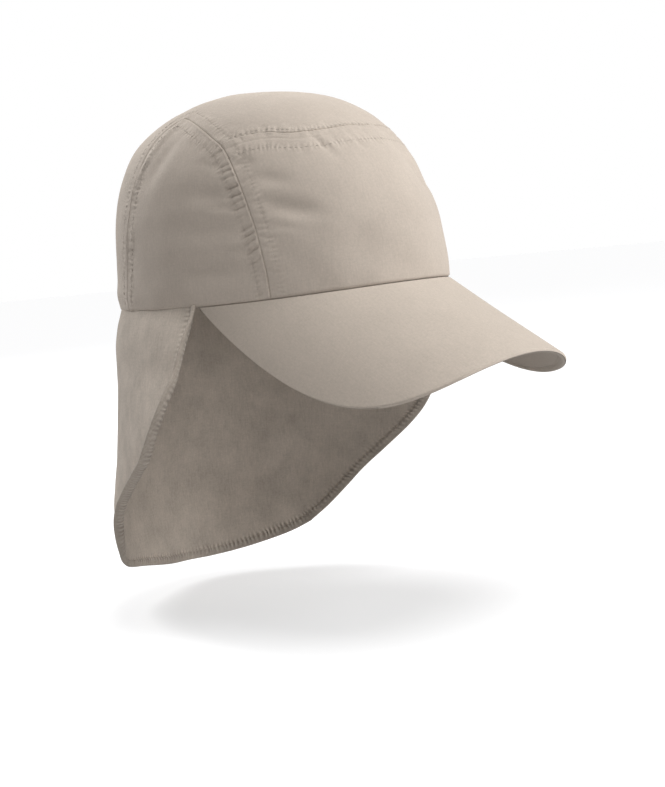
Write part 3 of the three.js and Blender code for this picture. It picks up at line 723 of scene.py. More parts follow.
def sewn_edge_group():
    """Small uneven puckers at a stitch row, and a mask of the cloth between the row and the edge."""
    tree, start, end = group_tree(
        "sewn_edge",
        [
            ("Edge", "NodeSocketVector", None),
            ("Row", "NodeSocketFloat", 0.005),
            ("Pitch", "NodeSocketFloat", 0.0026),
        ],
        [("Height", "NodeSocketFloat"), ("Hem", "NodeSocketFloat")],
    )
    split = tree.nodes.new("ShaderNodeSeparateXYZ")
    tree.links.new(start.outputs["Edge"], split.inputs[0])
    beyond = math_node(tree, "SUBTRACT", split.outputs["Y"], start.outputs["Row"])
    jitter = noise_node(tree, start.outputs["Edge"], 130.0, 1.0)
    vigour = noise_node(tree, start.outputs["Edge"], 60.0, 1.0)
    cycles = math_node(tree, "DIVIDE", split.outputs["X"], start.outputs["Pitch"])
    turns = math_node(tree, "MULTIPLY", cycles, TAU)
    wave = math_node(tree, "SINE", math_node(tree, "MULTIPLY_ADD", jitter, 9.0, turns))
    spread = math_node(tree, "DIVIDE", beyond, 2.1 * MM)
    squared = math_node(tree, "MULTIPLY", spread, spread)
    fade = math_node(tree, "EXPONENT", math_node(tree, "MULTIPLY", squared, -1.0))
    strong = math_node(tree, "SUBTRACT", math_node(tree, "MULTIPLY", vigour, 2.6), 0.4)
    height = math_node(tree, "MULTIPLY", math_node(tree, "MULTIPLY", wave, fade), strong)
    # Mask of the hem strip, which the materials use to paint shade on it
    hem = tree.nodes.new("ShaderNodeMapRange")
    hem.interpolation_type = "SMOOTHSTEP"
    for label, value in (("From Min", 0.5 * MM), ("From Max", -0.3 * MM)):
        hem.inputs[label].default_value = value
    tree.links.new(beyond, hem.inputs["Value"])
    tree.links.new(height, end.inputs["Height"])
    tree.links.new(hem.outputs["Result"], end.inputs["Hem"])
    return tree


def shared_group(name, build):
    """A node group by its name, built when it is first asked for."""
    return bpy.data.node_groups.get(name) or build()


def cotton_material(name, colour, pitch, blotches, slubs, grain, sheen, sewn=None):
    """Woven cotton: tone, weave and slubs over the cloth coordinates.

    sewn gives the distance of a stitch row from the piece's edge, how much painted shade dims the hem
    strip, and how strong the puckers are, in their bumps and in their painted shade and highlight.
    """
    material = bpy.data.materials.new(name)
    material.use_nodes = True
    tree = material.node_tree
    shader = tree.nodes["Principled BSDF"]
    place = tree.nodes.new("ShaderNodeTexCoord")
    weave = tree.nodes.new("ShaderNodeGroup")
    weave.node_tree = shared_group("plain_weave", weave_group)
    weave.inputs["Pitch"].default_value = pitch
    tone = tree.nodes.new("ShaderNodeGroup")
    tone.node_tree = shared_group("cotton_tone", tone_group)
    tone.inputs["Blotches"].default_value = blotches
    tone.inputs["Slubs"].default_value = slubs
    tone.inputs["Grain"].default_value = grain
    tree.links.new(place.outputs["UV"], weave.inputs["Cloth"])
    tree.links.new(place.outputs["UV"], tone.inputs["Cloth"])
    tree.links.new(place.outputs["Object"], tone.inputs["Place"])
    # The colour carries the weave's painted shade between the threads, down to 88 %
    shade = math_node(tree, "MULTIPLY_ADD", weave.outputs["Shade"], 0.16, 0.88)
    strength = math_node(tree, "MULTIPLY", tone.outputs["Tone"], shade)
    height = math_node(tree, "MULTIPLY_ADD", tone.outputs["Height"], 0.5, weave.outputs["Height"])
    if sewn:
        edge = tree.nodes.new("ShaderNodeUVMap")
        edge.uv_map = "edge"
        pucker = tree.nodes.new("ShaderNodeGroup")
        pucker.node_tree = shared_group("sewn_edge", sewn_edge_group)
        pucker.inputs["Row"].default_value = sewn[0]
        tree.links.new(edge.outputs["UV"], pucker.inputs["Edge"])
        height = math_node(tree, "MULTIPLY_ADD", pucker.outputs["Height"], 2.6 * sewn[2], height)
        # Painted shade on the hem strip: its colour is lowered for the light that comes through the single
        # cloth and not through the double hem
        painted_shade = math_node(tree, "MULTIPLY_ADD", pucker.outputs["Hem"], -sewn[1], 1.0)
        # Painted shade in the hollows of the puckers and painted highlight on their ridges, following their
        # height
        painted_shade = math_node(tree, "MULTIPLY_ADD", pucker.outputs["Height"], 0.1 * sewn[2], painted_shade)
        strength = math_node(tree, "MULTIPLY", strength, painted_shade)
    tint = tree.nodes.new("ShaderNodeMix")
    tint.data_type = "RGBA"
    tint.blend_type = "MULTIPLY"
    tint.inputs["Factor"].default_value = 1.0
    tint.inputs[6].default_value = (*colour, 1.0)
    tree.links.new(strength, tint.inputs[7])
    tree.links.new(tint.outputs[2], shader.inputs["Base Color"])
    bump = tree.nodes.new("ShaderNodeBump")
    bump.inputs["Strength"].default_value = 0.6
    bump.inputs["Distance"].default_value = 0.12 * MM
    tree.links.new(height, bump.inputs["Height"])
    tree.links.new(bump.outputs[0], shader.inputs["Normal"])
    shader.inputs["Roughness"].default_value = 0.92
    shader.inputs["Specular IOR Level"].default_value = 0.2
    shader.inputs["Sheen Weight"].default_value = sheen
    shader.inputs["Sheen Roughness"].default_value = 0.45
    shader.inputs["Sheen Tint"].default_value = (1.0, 0.97, 0.93, 1.0)
    return material


def thread_material(name, colour):
    """Twisted sewing thread."""
    material = bpy.data.materials.new(name)
    material.use_nodes = True
    tree = material.node_tree
    shader = tree.nodes["Principled BSDF"]
    place = tree.nodes.new("ShaderNodeTexCoord")
    twist = tree.nodes.new("ShaderNodeTexWave")
    twist.inputs["Scale"].default_value = 700.0
    twist.inputs["Distortion"].default_value = 0.5
    twist.bands_direction = "DIAGONAL"
    tree.links.new(place.outputs["UV"], twist.inputs["Vector"])
    # The twist's grooves get painted shade: the colour falls to 72 % where the bump is lowest
    ramp = tree.nodes.new("ShaderNodeValToRGB")
    ramp.color_ramp.elements[0].color = (*(0.72 * c for c in colour), 1.0)
    ramp.color_ramp.elements[1].color = (*colour, 1.0)
    tree.links.new(twist.outputs["Fac"], ramp.inputs["Fac"])
    tree.links.new(ramp.outputs["Color"], shader.inputs["Base Color"])
    bump = tree.nodes.new("ShaderNodeBump")
    bump.inputs["Strength"].default_value = 0.5
    bump.inputs["Distance"].default_value = 0.05 * MM
    tree.links.new(twist.outputs["Fac"], bump.inputs["Height"])
    tree.links.new(bump.outputs[0], shader.inputs["Normal"])
    shader.inputs["Roughness"].default_value = 0.7
    return material


def dress(piece, material, slot, *nodes):
    """Gives a piece its material and its body, and hides the CAD nodes that it stands for; slot is not
    used.
    """
    piece.data.materials.append(material)
    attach(piece, "root")
    if nodes:
        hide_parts(*nodes)
    return piece


def shared_material(name, build):
    """A material by its name, built when it is first asked for."""
    return bpy.data.materials.get(name) or build()


def crown_cotton(looks, row):
    """Cotton of the crown, with puckers at the stitch rows beside its seams."""
    # The crown's puckers carry painted shade in their hollows and painted highlight on their ridges; its
    # hem gets no painted shade
    return shared_material("crown_cotton", lambda: cotton_material(
        "crown_cotton", looks.crown_colour, looks.weave_pitch, 0.08, 0.08, 0.12, 0.12, (row, 0.0, 0.6)))


def sewing_thread(looks):
    """Thread of all stitch rows."""
    return shared_material("sewing_thread", lambda: thread_material("sewing_thread", looks.thread_colour))


STITCH = (2.1 * MM, 0.8 * MM, 0.15 * MM)


# Crown
def crown_panel(name, crown, edges, beside, looks, node):
    """One crown panel: its edges are four functions of shares, and beside lists its seams."""
    bottom, top, left, right = edges
    shares = np.linspace(0, 1, 60)
    width = max(run_length(bottom(shares))[-1], run_length(top(shares))[-1])
    tall = max(run_length(left(shares))[-1], run_length(right(shares))[-1])
    u = close_steps(width, 0.55 * MM, 1.5 * MM, 12 * MM)
    v = close_steps(tall, 0.5 * MM, 0.8 * MM, 4 * MM)
    grid = patch(bottom(u), top(u), left(v), right(v), u, v)
    grid[1:-1, 1:-1] = crown.cast(grid[1:-1, 1:-1])
    normals = crown.normal(grid)
    height, allowance, nearest = crown.relief(grid, beside)
    above_rim = grid[..., 2] - crown.rim_height(np.arctan2(grid[..., 0], -grid[..., 1]))
    roll = 1.4 * MM
    turned = roll * (1 - np.sqrt(1 - np.clip(1 - above_rim / roll, 0, 1) ** 2)) * 0.8
    outer = grid + normals * (height - turned)[..., None]
    hem = 1 - smooth_step(above_rim, 8 * MM, 10 * MM)
    wall = crown.sizes.cloth + crown.sizes.allowance * np.maximum(allowance, hem)
    inner = outer - normals * (wall - turned * 0.7)[..., None]
    piece = shell_mesh(name, outer, inner, cloth_coordinates(grid), nearest)
    return dress(piece, crown_cotton(looks, crown.sizes.stitch_row), "crown_cloth", node)


def crown_panels(crown, looks):
    """The four cloth panels of the crown."""
    start, end = SIDE_SEAM[0][0], SIDE_SEAM[-1][0]

    def run(low, high, side):
        """Points of the side seam from one share of its length to another, for shares of that run."""
        return lambda shares: crown_side_points(crown, low + (high - low) * shares, side)

    under_right, under_left = (crown.under_edge(side) for side in (-1, 1))
    over_front = crown.top_edge()
    crown_panel(
        "front_panel_cloth", crown,
        (
            lambda s: crown.rim_run(-start, start, s),
            crown.top_run,
            run(0, FRONT_JOIN, -1),
            run(0, FRONT_JOIN, 1),
        ),
        [under_right, under_left, over_front],
        looks, "front_panel",
    )
    crown_panel(
        "top_panel_cloth", crown,
        (
            crown.top_run,
            lambda s: crown.rim_run(-end, end - 360, s),
            run(FRONT_JOIN, 1, -1),
            run(FRONT_JOIN, 1, 1),
        ),
        [under_right, under_left, over_front],
        looks, "top_panel",
    )
    for side, word in ((-1, "right"), (1, "left")):
        front, back = run(0, FRONT_JOIN, side), run(1, BACK_JOIN, side)
        first, last = (front, back) if side > 0 else (back, front)

        def along_rim(shares, side=side):
            """Rim under the side panel."""
            ends = (start, end) if side > 0 else (-end, -start)
            return crown.rim_run(*ends, shares)

        def over_top(shares, side=side):
            """Seam over the top of the side panel."""
            ends = (FRONT_JOIN, BACK_JOIN) if side > 0 else (BACK_JOIN, FRONT_JOIN)
            return run(*ends, side)(shares)

        crown_panel(
            f"side_panel_{word}_cloth", crown, (along_rim, over_top, first, last),
            [crown.over_edge(side)], looks, f"side_panel_{word}",
        )


def crown_side_points(crown, shares, side):
    """Points of a side seam at shares of its length."""
    seam = crown.side_seam[side]
    at = np.asarray(shares) * seam.lengths[-1]
    return np.stack([np.interp(at, seam.lengths, seam.points[:, axis]) for axis in range(3)], axis=1)


def stitch_run(crown, edge, hand):
    """A stitch row beside a seam, on the surface of the cloth."""
    points = crown_offset(crown, edge.line, hand * crown.sizes.stitch_row)
    keep = points[:, 2] > crown.rim_height(np.arctan2(points[:, 0], -points[:, 1])) + 1.5 * MM
    points = points[keep]
    height = crown.relief(points[None], [edge])[0]
    normals = crown.normal(points)
    return points + normals * (height[0] + STITCH[2] * 0.1)[:, None], normals


def crown_offset(crown, seam, distance):
    """A line on the crown at a distance to one side of a seam."""
    normals = crown.normal(seam.points)
    aside = np.cross(normals, seam.tangents)
    return crown.cast(seam.points + aside * distance)


def crown_stitching(crown, looks):
    """Rows of topstitching on both sides of the crown's seams."""
    runs = []
    for side in (-1, 1):
        runs.append(stitch_run(crown, crown.over_edge(side), side))
        runs.append(stitch_run(crown, crown.under_edge(side), -side))
    for hand in (-1, 1):
        points, normals = stitch_run(crown, crown.top_edge(), hand)
        distances = [crown.side_seam[side].measure(points[None])[0][0] for side in (-1, 1)]
        margin = np.array(distances).min(axis=0)
        keep = margin > 0.5 * MM
        runs.append((points[keep], normals[keep]))
    piece = stitch_mesh("crown_stitching", runs, STITCH)
    return dress(piece, sewing_thread(looks), "crown_cloth")


# Visor
class Visor:
    """The visor's surface: a sheet bent about a line that falls towards the front."""

    def __init__(self, sizes, crown):
        self.sizes = sizes
        self.crown = crown
        rim = crown.sizes
        self.arch_width = rim.half_width * math.sin(sizes.corner) / math.sin(sizes.bend)
        self.arch_depth = sizes.droop / (1 - math.cos(sizes.bend))
        self.corner_reach = rim.half_length * math.cos(sizes.corner)
        root_drop = sizes.droop - rim.rim_rise + crown.rim_height(sizes.corner)
        self.fall = root_drop / (rim.half_length - self.corner_reach)

    def point(self, bend, reach):
        """Point of the sheet at a bend from its middle and a reach to the front."""
        drop = self.arch_depth * (1 - np.cos(bend))
        height = self.crown.sizes.rim_rise - drop - self.fall * (reach - self.crown.sizes.half_length)
        return np.stack([self.arch_width * np.sin(bend), -reach, height], axis=-1)

    def spot(self, sweep, out):
        """Point at a sweep from the middle and a share of the way from root to edge."""
        root_bend = self.sizes.bend * np.sin(sweep)
        root_across = self.arch_width * np.sin(root_bend) / self.crown.sizes.half_width
        root_reach = self.crown.sizes.half_length * np.sqrt(1 - root_across**2)
        edge_bend = root_bend + self.sizes.cheek * np.sin(2 * sweep)
        far = self.crown.sizes.half_length + self.sizes.reach
        edge_reach = self.corner_reach + (far - self.corner_reach) * np.cos(sweep)
        bend = root_bend + (edge_bend - root_bend) * out
        spots = self.point(bend, root_reach + (edge_reach - root_reach) * out)
        root = self.point(root_bend, root_reach)
        lift = self.crown.rim_height(np.arcsin(root_across)) - root[..., 2]
        spots[..., 2] += lift * (1 - out) ** 2
        return spots


def visor_piece(visor, looks):
    """The visor: top cloth, rounded edge, lower cloth with its stitched turning."""
    sizes = visor.sizes
    sweeps = np.linspace(-87, 87, 240) * DEGREE
    root, middle, edge = np.linspace(0, 0.06, 8), np.linspace(0.06, 0.9, 54), np.linspace(0.9, 1, 16)
    outs = np.concatenate([root[:-1], middle[:-1], edge])
    sweep, out = np.meshgrid(sweeps, outs[::-1])
    top = visor.spot(sweep, out)
    top[..., 2] -= 0.15 * MM
    normals = unit(np.cross(np.gradient(top, axis=1), np.gradient(top, axis=0)))
    steps = np.linalg.norm(np.diff(top, axis=0), axis=2)
    from_edge = np.concatenate([np.zeros((1, top.shape[1])), np.cumsum(steps, axis=0)])
    from_root = from_edge[-1] - from_edge
    half = sizes.wall / 2
    round_off = half * (1 - np.sqrt(1 - np.clip(1 - from_edge / half, 0, 1) ** 2))
    soft = 0.12 * MM * waviness(top, 30 * MM, 9.1)
    tuck = 0.1 * MM * bell(from_root, 1.6 * MM)
    upper = top + normals * (soft - round_off - tuck)[..., None]
    stitched = 0.35 * MM * bell(from_edge - sizes.binding, 0.7 * MM)
    lower = top - normals * (sizes.wall - round_off - stitched + 0.4 * soft)[..., None]
    lip = visor_lip(visor, sweeps)
    upper = np.concatenate([upper, lip[None] - np.array([0, 0, 0.3 * MM])])
    lower = np.concatenate([lower, lip[None] - np.array([0, 0, sizes.wall])])
    piece = shell_mesh("visor_cloth", upper, lower, cloth_coordinates(upper))
    material = cotton_material(
        "visor_cotton", looks.visor_colour, looks.weave_pitch, 0.06, 0.07, 0.12, 0.12)
    dress(piece, material, "visor_cloth", "visor")
    row = np.argmin(np.abs(from_edge[:, from_edge.shape[1] // 2] - sizes.binding))
    below = -normals[row]
    run = (lower[row] + below * STITCH[2] * 0.5, below)
    stitches = stitch_mesh("visor_stitching", [run], STITCH)
    return dress(stitches, sewing_thread(looks), "visor_cloth")


def visor_lip(visor, sweeps):
    """The visor's root edge, sewn in under the crown's wall."""
    lip = visor.spot(sweeps, np.zeros_like(sweeps))
    level = lip.copy()
    level[:, 2] = 0
    return lip - visor.crown.normal(level) * 1.4 * MM


# Sweatband
def sweatband_piece(crown, looks):
    """A plain cotton band inside the rim, turned over at its upper edge."""
    turns = np.arange(360) * DEGREE
    steps = np.linspace(0, 1, 26)
    turn, step = np.meshgrid(turns, steps)
    spots = crown.spot(turn, crown.rim_height(turn) + (0.4 + 26.4 * step) * MM)
    normals = crown.normal(spots)
    height = -crown.dent_depth(spots) - 1.95 * MM + 0.12 * MM * waviness(spots, 18 * MM, 5.5)
    edge = 1 - np.sqrt(1 - np.clip(1 - (1 - step) * 26.4 / 0.6, 0, 1) ** 2)
    outer = spots + normals * (height - edge * 0.5 * MM)[..., None]
    fold = 0.35 * MM * smooth_step(step, 0.66, 0.7)
    inner = spots + normals * (height - 0.8 * MM - fold + edge * 0.5 * MM)[..., None]
    cloth = np.dstack([turn * crown.sizes.half_length, step * 26.4 * MM])
    piece = ring_mesh("sweatband_cloth", outer, inner, cloth)
    material = cotton_material(
        "band_cotton", looks.band_colour, looks.weave_pitch, 0.04, 0.04, 0.03, 0.1)
    dress(piece, material, "band_cloth", "sweatband")
    row = inner[14]
    ring = np.concatenate([row, row[:1]])
    inward = -np.concatenate([normals[14], normals[14][:1]])
    stitches = stitch_mesh("sweatband_stitching", [(ring, inward)], STITCH)
    return dress(stitches, sewing_thread(looks), "band_cloth")


# Neck flap
class Flap:
    """The neck flap: cloth laid out flat in arc and drop, then hung from the rim."""

    def __init__(self, sizes, crown):
        self.sizes = sizes
        self.crown = crown
        self.arc = (crown.sizes.half_width + crown.sizes.half_length) / 2 * DEGREE

    def spot(self, turn, drop):
        """Place of the hung cloth. turn is in degrees from the middle of the back."""
        sizes, rim = self.sizes, self.crown.sizes
        side, back, front = (table_value(FLAP_SPREAD, column, drop) for column in (1, 2, 3))
        half_width = rim.half_width - 0.3 * MM + sizes.side_flare * side
        half_length = rim.half_length - 0.3 * MM + sizes.back_flare * back
        forward = np.maximum(np.abs(turn) - 50, 0) / 40
        wing = sizes.front_flare * front * forward**2 * np.sign(turn)
        height = self.crown.rim_height((180 - turn) * DEGREE) * (1 - drop) - 0.15 * MM - sizes.drop * drop
        angle = turn * DEGREE
        fold = sum(depth * bell(turn - at, breadth) for at, breadth, depth in FLAP_FOLDS)
        fold = sizes.fold_depth * fold * drop**2
        x = half_width * np.sin(angle) + wing + np.sin(angle) * fold
        y = half_length * np.cos(angle) + np.cos(angle) * fold
        return np.stack([x, y, height], axis=-1)

    def edge(self, rows, side, shares):
        """A free edge on the flat cloth, in metres."""
        points = [(side * turn * self.arc, drop * self.sizes.drop) for turn, drop in rows]
        return evenly(points, shares)

    def flat_grid(self, u, v):
        """Grid over the flat cloth, with the rim at its top and the hem at its bottom."""
        left = self.edge(FLAP_LEFT_EDGE, 1, 1 - v)
        right = self.edge(FLAP_RIGHT_EDGE, -1, 1 - v)
        hem = self.edge(FLAP_HEM, 1, 1 - u)
        rim = left[-1] + (right[-1] - left[-1]) * u[:, None]
        return patch(hem, rim, left, right, u, v)

    def outline(self):
        """The free edge on the flat cloth, from the rim's left end round the hem to its right end."""
        shares = np.linspace(0, 1, 700)
        left = self.edge(FLAP_LEFT_EDGE, 1, shares)
        hem = self.edge(FLAP_HEM, 1, 1 - shares)
        right = self.edge(FLAP_RIGHT_EDGE, -1, 1 - shares)
        line = np.concatenate([left, hem[1:], right[1:]])
        return Seam(np.column_stack([line, np.zeros(len(line))]))


def flap_piece(flap, looks):
    """The neck flap with its turned and stitched hem."""
    sizes = flap.sizes
    u = close_steps(2 * 98 * flap.arc, 0.6 * MM, 1.25 * MM, 8 * MM)
    v = close_steps(sizes.drop, 0.6 * MM, 1.2 * MM, 8 * MM)
    flat = flap.flat_grid(u, v)
    edge = flap.outline()
    outer, inner, cloth, _, beside = flap_faces(flap, flat, edge)
    piece = shell_mesh("neck_flap_cloth", outer, inner, cloth, beside)
    # The flap's hem strip gets painted shade, 15 % off its colour, for the light that comes through the
    # single cloth and not the double hem; its puckers get painted shade and highlight
    material = cotton_material(
        "flap_cotton", looks.flap_colour, looks.weave_pitch * 1.1,
        0.32, 0.15, 0.18, 0.06, (sizes.hem, 0.15, 1.7))
    dress(piece, material, "flap_cloth", "neck_flap")
    stitches = flap_stitching(flap, edge, looks)
    return piece


# How far the front edges are flipped outwards, in degrees, down the flap's drop: right, left
FLAP_FLIP = [
    (0.0, 30, 10), (0.06, 62, 10), (0.2, 78, 12), (0.35, 92, 12), (0.5, 112, 12), (0.64, 108, 10),
    (0.74, 88, 8), (0.82, 60, 6), (0.87, 34, 4), (0.91, 12, 2), (0.95, 0, 0), (1.0, 0, 0),
]

FLIP_WIDTH = 5.4 * MM


def flap_faces(flap, flat, edge):
    """Outer face, inner face, cloth coordinates, normals and edge places of the flap at flat places."""
    sizes = flap.sizes
    level = np.dstack([flat, np.zeros(flat.shape[:2])])
    away, along = edge.measure(level)
    tangents = [np.interp(along, edge.lengths, edge.tangents[:, axis]) for axis in range(3)]
    inward = np.cross(np.stack(tangents, axis=-1), [0, 0, -1])
    share = np.clip(flat[..., 1] / sizes.drop, 0, 1)
    right, left = (table_value(FLAP_FLIP, column, share) for column in (1, 2))
    flip = np.where(flat[..., 0] < 0, right, left) * DEGREE
    moved = np.clip(flip / (60 * DEGREE), 0, 1)
    width = FLIP_WIDTH * (1 - 0.8 * moved)
    reach = 14 * MM
    beyond = np.maximum(FLIP_WIDTH - away, 0)
    kept = width + (away - FLIP_WIDTH) * (reach - width) / (reach - FLIP_WIDTH)
    place = np.where(away < FLIP_WIDTH, width, np.where(away < reach, kept, away))
    base = flat + inward[..., :2] * (place - away)[..., None]

    def hung(places):
        """Points of the hung flap for places on its flat cloth."""
        return flap.spot(places[..., 0] / flap.arc, places[..., 1] / sizes.drop)

    step = 0.4 * MM
    across = hung(base - [step, 0]) - hung(base + [step, 0])
    up = hung(base - [0, step]) - hung(base + [0, step])
    normals = unit(np.cross(across, up))
    spots = hung(base)
    outward = unit(hung(base - inward[..., :2] * step) - hung(base + inward[..., :2] * step))
    ahead, out = np.zeros(away.shape), np.zeros(away.shape)
    for k in range(16):
        angle = flip * smooth_step(beyond * (k + 0.5) / 16, 0, 2.6 * MM)
        ahead += np.cos(angle) * beyond / 16
        out += np.sin(angle) * beyond / 16
    angle = flip * smooth_step(beyond, 0, 2.6 * MM)
    spots = spots + outward * ahead[..., None] + normals * out[..., None]
    normals = normals * np.cos(angle)[..., None] - outward * np.sin(angle)[..., None]
    height, wall = flap_relief(flap, spots, away, along)
    spots[..., 2] += 0.8 * MM * bell(base[..., 1], 2.5 * MM)
    outer = spots + normals * height[..., None]
    cloth = base - inward[..., :2] * beyond[..., None]
    return outer, outer - normals * wall[..., None], cloth, normals, np.stack([along, away], axis=-1)


def flap_relief(flap, spots, away, along):
    """Height of the flap's outer face, and its thickness, from the place beside its free edge."""
    sizes = flap.sizes
    row = sizes.hem
    drop = -spots[..., 2] / sizes.drop
    height = 0.9 * MM * waviness(spots, 30 * MM, 1.9) * smooth_step(drop, 0.02, 0.2)
    height += 0.14 * MM * waviness(spots, 9 * MM, 6.3)
    gathers = pinches(along, 2.8 * MM, 0.7) * (1 - smooth_step(away, row - 0.2 * MM, row + 2.2 * MM))
    gathers = gathers * smooth_step(away, 0.4 * MM, 2 * MM)
    height -= 0.3 * MM * gathers + 0.2 * MM * bell(away - row, 0.5 * MM)
    turned = 1 - smooth_step(away, row - 0.1 * MM, row + 0.5 * MM)
    round_off = 0.7 * MM * (1 - np.sqrt(1 - np.clip(1 - away / (0.9 * MM), 0, 1) ** 2))
    wall = sizes.wall - 0.3 * MM + 1.0 * MM * turned - 0.9 * MM * gathers
    wall -= 0.4 * MM * bell(away - row, 0.45 * MM)
    return height - round_off, wall - 1.5 * round_off


def flap_stitching(flap, edge, looks):
    """Stitch rows of the hem, on the outer and the inner face of the flap."""
    sizes = flap.sizes
    inward = np.cross(edge.tangents, [0, 0, -1])
    line = edge.points + inward * sizes.hem
    line = line[line[:, 1] > 2 * MM][::2]
    outer, inner, _, normals, _ = (grid[0] for grid in flap_faces(flap, line[None, :, :2], edge))
    rows = [(outer, normals), (inner, -normals)]
    stitches = stitch_mesh("flap_stitching", rows, STITCH)
    return dress(stitches, sewing_thread(looks), "flap_cloth")


# Stage
def area_light(name, place, aim, size, power, colour=(1.0, 1.0, 1.0)):
    """Soft box light that looks at a point."""
    lamp = bpy.data.lights.new(name, "AREA")
    lamp.shape = "RECTANGLE"
    lamp.size, lamp.size_y = size
    lamp.energy = power
    lamp.color = colour
    light = bpy.data.objects.new(name, lamp)
    light.location = place
    light.rotation_euler = (Vector(aim) - Vector(place)).to_track_quat("-Z", "Y").to_euler()
    bpy.context.scene.collection.objects.link(light)
    return light


def view_axes(stage):
    """Right, up and backward directions of the camera."""
    a, e, r = stage.azimuth, stage.elevation, stage.roll
    back = Vector((math.sin(a) * math.cos(e), -math.cos(a) * math.cos(e), math.sin(e)))
    right = Vector((math.cos(a), math.sin(a), 0))
    up = back.cross(right)
    return right * math.cos(r) - up * math.sin(r), right * math.sin(r) + up * math.cos(r), back


def place_camera(stage):
    """Camera at the viewing angle of the photograph."""
    right, up, back = view_axes(stage)
    lens = bpy.data.cameras.new("camera")
    lens.lens = stage.lens
    lens.clip_start, lens.clip_end = 0.02, 60
    camera = bpy.data.objects.new("camera", lens)
    place = back * stage.distance + right * stage.pan_across - up * stage.pan_up
    place.z += stage.aim_height
    turned = Matrix((right, up, back)).transposed().to_4x4()
    camera.matrix_world = Matrix.Translation(place) @ turned
    bpy.context.scene.collection.objects.link(camera)
    bpy.context.scene.camera = camera


def floor_piece(stage):
    """Round pale floor under the cap, which is clear when it is seen from below."""
    low = CAD_BOX[0].z - stage.floor_gap
    turns = np.arange(96) * TAU / 96
    rim = np.stack([np.cos(turns), np.sin(turns)], axis=1) * stage.floor_radius
    vertices = [(x, y, low) for x, y in rim]
    mesh = bpy.data.meshes.new("floor")
    mesh.from_pydata(vertices, [], [tuple(range(len(vertices)))])
    floor = bpy.data.objects.new("floor", mesh)
    bpy.context.scene.collection.objects.link(floor)
    material = bpy.data.materials.new("pale_floor")
    material.use_nodes = True
    tree = material.node_tree
    shader = tree.nodes["Principled BSDF"]
    shader.inputs["Base Color"].default_value = (0.45, 0.45, 0.455, 1.0)
    shader.inputs["Roughness"].default_value = 1.0
    shader.inputs["Specular IOR Level"].default_value = 0.0
    shader.inputs["Emission Color"].default_value = (1.0, 1.0, 1.0, 1.0)
    path = tree.nodes.new("ShaderNodeLightPath")
    glow = math_node(tree, "MULTIPLY", path.outputs["Is Camera Ray"], 0.56)
    tree.links.new(glow, shader.inputs["Emission Strength"])
    side = tree.nodes.new("ShaderNodeNewGeometry")
    clear = tree.nodes.new("ShaderNodeBsdfTransparent")
    mix = tree.nodes.new("ShaderNodeMixShader")
    tree.links.new(side.outputs["Backfacing"], mix.inputs[0])
    tree.links.new(shader.outputs[0], mix.inputs[1])
    tree.links.new(clear.outputs[0], mix.inputs[2])
    tree.links.new(mix.outputs[0], tree.nodes["Material Output"].inputs["Surface"])
    mesh.materials.append(material)


def sun_light(name, toward, strength, spread):
    """Even soft light from one direction."""
    lamp = bpy.data.lights.new(name, "SUN")
    lamp.energy = strength
    lamp.angle = spread
    light = bpy.data.objects.new(name, lamp)
    light.rotation_euler = Vector(toward).to_track_quat("Z", "Y").to_euler()
    bpy.context.scene.collection.objects.link(light)
    return light


def light_stage(stage):
    """Soft studio light: from above, a key from the right, a fill, a rim light and a pale sky."""
    right, _, back = view_axes(stage)
    level = Vector((0, 0, 1))
    right = Vector((right.x, right.y, 0)).normalized()
    back = Vector((back.x, back.y, 0)).normalized()
    sun_light("top_light", level + right * 0.3 + back * 0.12, 2.15, 34 * DEGREE)
    area_light("key_light", right * 1.55 + back * 0.1 + level * 0.65, (0, 0, 0.03), (0.9, 1.1), 21)
    area_light("rim_light", right * -1.25 - back * 1.3 + level * 1.35, (0, 0, 0.06), (0.6, 1.2), 40)
    area_light("low_light", right * 0.25 + back * 1.0 - level * 0.14, (0, 0.05, -0.09), (0.5, 0.12), 1.45)
    world = bpy.data.worlds.new("pale_sky")
    world.use_nodes = True
    tree = world.node_tree
    sky = tree.nodes["Background"]
    sky.inputs["Color"].default_value = (1.0, 1.0, 1.0, 1.0)
    path = tree.nodes.new("ShaderNodeLightPath")
    strength = math_node(tree, "MULTIPLY_ADD", path.outputs["Is Camera Ray"], 1.0 - 0.27, 0.27)
    tree.links.new(strength, sky.inputs["Strength"])
    bpy.context.scene.world = world
    bpy.context.scene.view_settings.view_transform = "Standard"


class CAP_OT_stage(bpy.types.Operator):
    """Places the floor, the lights and the camera"""

    bl_idname = "cap.stage"
    bl_label = "Stage"

    def execute(self, context):
        stage = context.scene.cap_stage
        floor_piece(stage)
        light_stage(stage)
        place_camera(stage)
        return {"FINISHED"}


class CAP_OT_crown(bpy.types.Operator):
    """Builds the four cloth panels of the crown and their topstitching"""

    bl_idname = "cap.crown"
    bl_label = "Crown"

    def execute(self, context):
        crown = Crown(context.scene.cap_crown)
        crown_panels(crown, context.scene.cap_looks)
        crown_stitching(crown, context.scene.cap_looks)
        return {"FINISHED"}


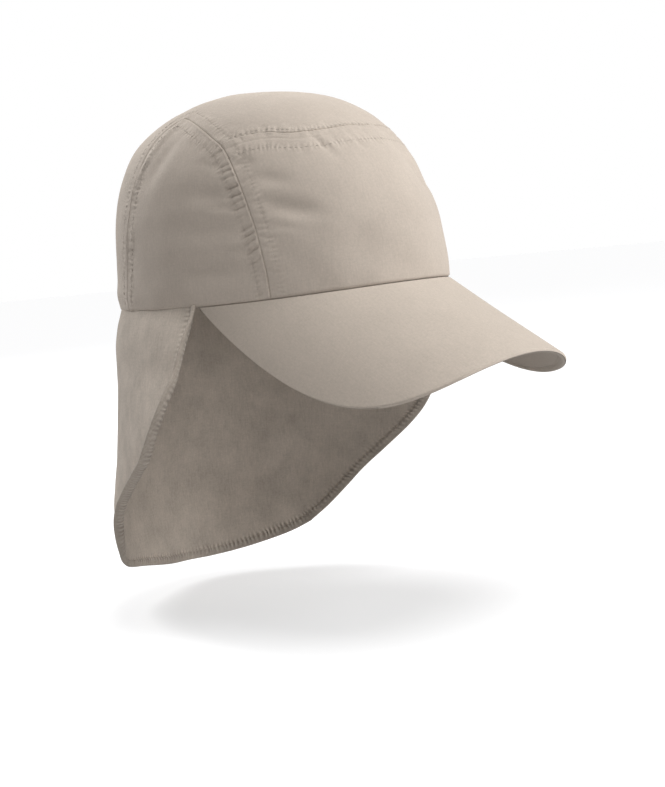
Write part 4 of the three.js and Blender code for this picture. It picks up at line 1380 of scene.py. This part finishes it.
class CAP_OT_visor(bpy.types.Operator):
    """Builds the arched visor"""

    bl_idname = "cap.visor"
    bl_label = "Visor"

    def execute(self, context):
        visor = Visor(context.scene.cap_visor, Crown(context.scene.cap_crown))
        visor_piece(visor, context.scene.cap_looks)
        return {"FINISHED"}


class CAP_OT_sweatband(bpy.types.Operator):
    """Builds the sweatband inside the rim"""

    bl_idname = "cap.sweatband"
    bl_label = "Sweatband"

    def execute(self, context):
        sweatband_piece(Crown(context.scene.cap_crown), context.scene.cap_looks)
        return {"FINISHED"}


class CAP_OT_flap(bpy.types.Operator):
    """Builds the neck flap with its hem"""

    bl_idname = "cap.flap"
    bl_label = "Neck Flap"

    def execute(self, context):
        flap = Flap(context.scene.cap_flap, Crown(context.scene.cap_crown))
        flap_piece(flap, context.scene.cap_looks)
        return {"FINISHED"}


class CAP_PT_panel(bpy.types.Panel):
    """Sizes, colours and pieces of the cap"""

    bl_idname = "CAP_PT_panel"
    bl_label = "Legionnaire Cap"
    bl_space_type = "VIEW_3D"
    bl_region_type = "UI"
    bl_category = "Legionnaire Cap"

    def draw(self, context):
        for attribute, group in GROUPS.items():
            box = self.layout.box()
            box.label(text=group.__doc__)
            for key in group.__annotations__:
                box.prop(getattr(context.scene, attribute), key)
        for operator in OPERATORS:
            self.layout.operator(operator.bl_idname)


OPERATORS = (CAP_OT_stage, CAP_OT_crown, CAP_OT_visor, CAP_OT_sweatband, CAP_OT_flap)
CLASSES = (*GROUPS.values(), *OPERATORS, CAP_PT_panel)


def register():
    """Registers the classes and the settings of the scene."""
    for cls in CLASSES:
        bpy.utils.register_class(cls)
    for attribute, group in GROUPS.items():
        setattr(bpy.types.Scene, attribute, bpy.props.PointerProperty(type=group))


def unregister():
    """Removes the settings and the classes."""
    for attribute in GROUPS:
        delattr(bpy.types.Scene, attribute)
    for cls in reversed(CLASSES):
        bpy.utils.unregister_class(cls)


def main():
    """Builds the stage and the cap."""
    register()
    bpy.ops.cap.stage()
    bpy.ops.cap.crown()
    bpy.ops.cap.visor()
    bpy.ops.cap.sweatband()
    bpy.ops.cap.flap()


if __name__ == "__main__":
    main()
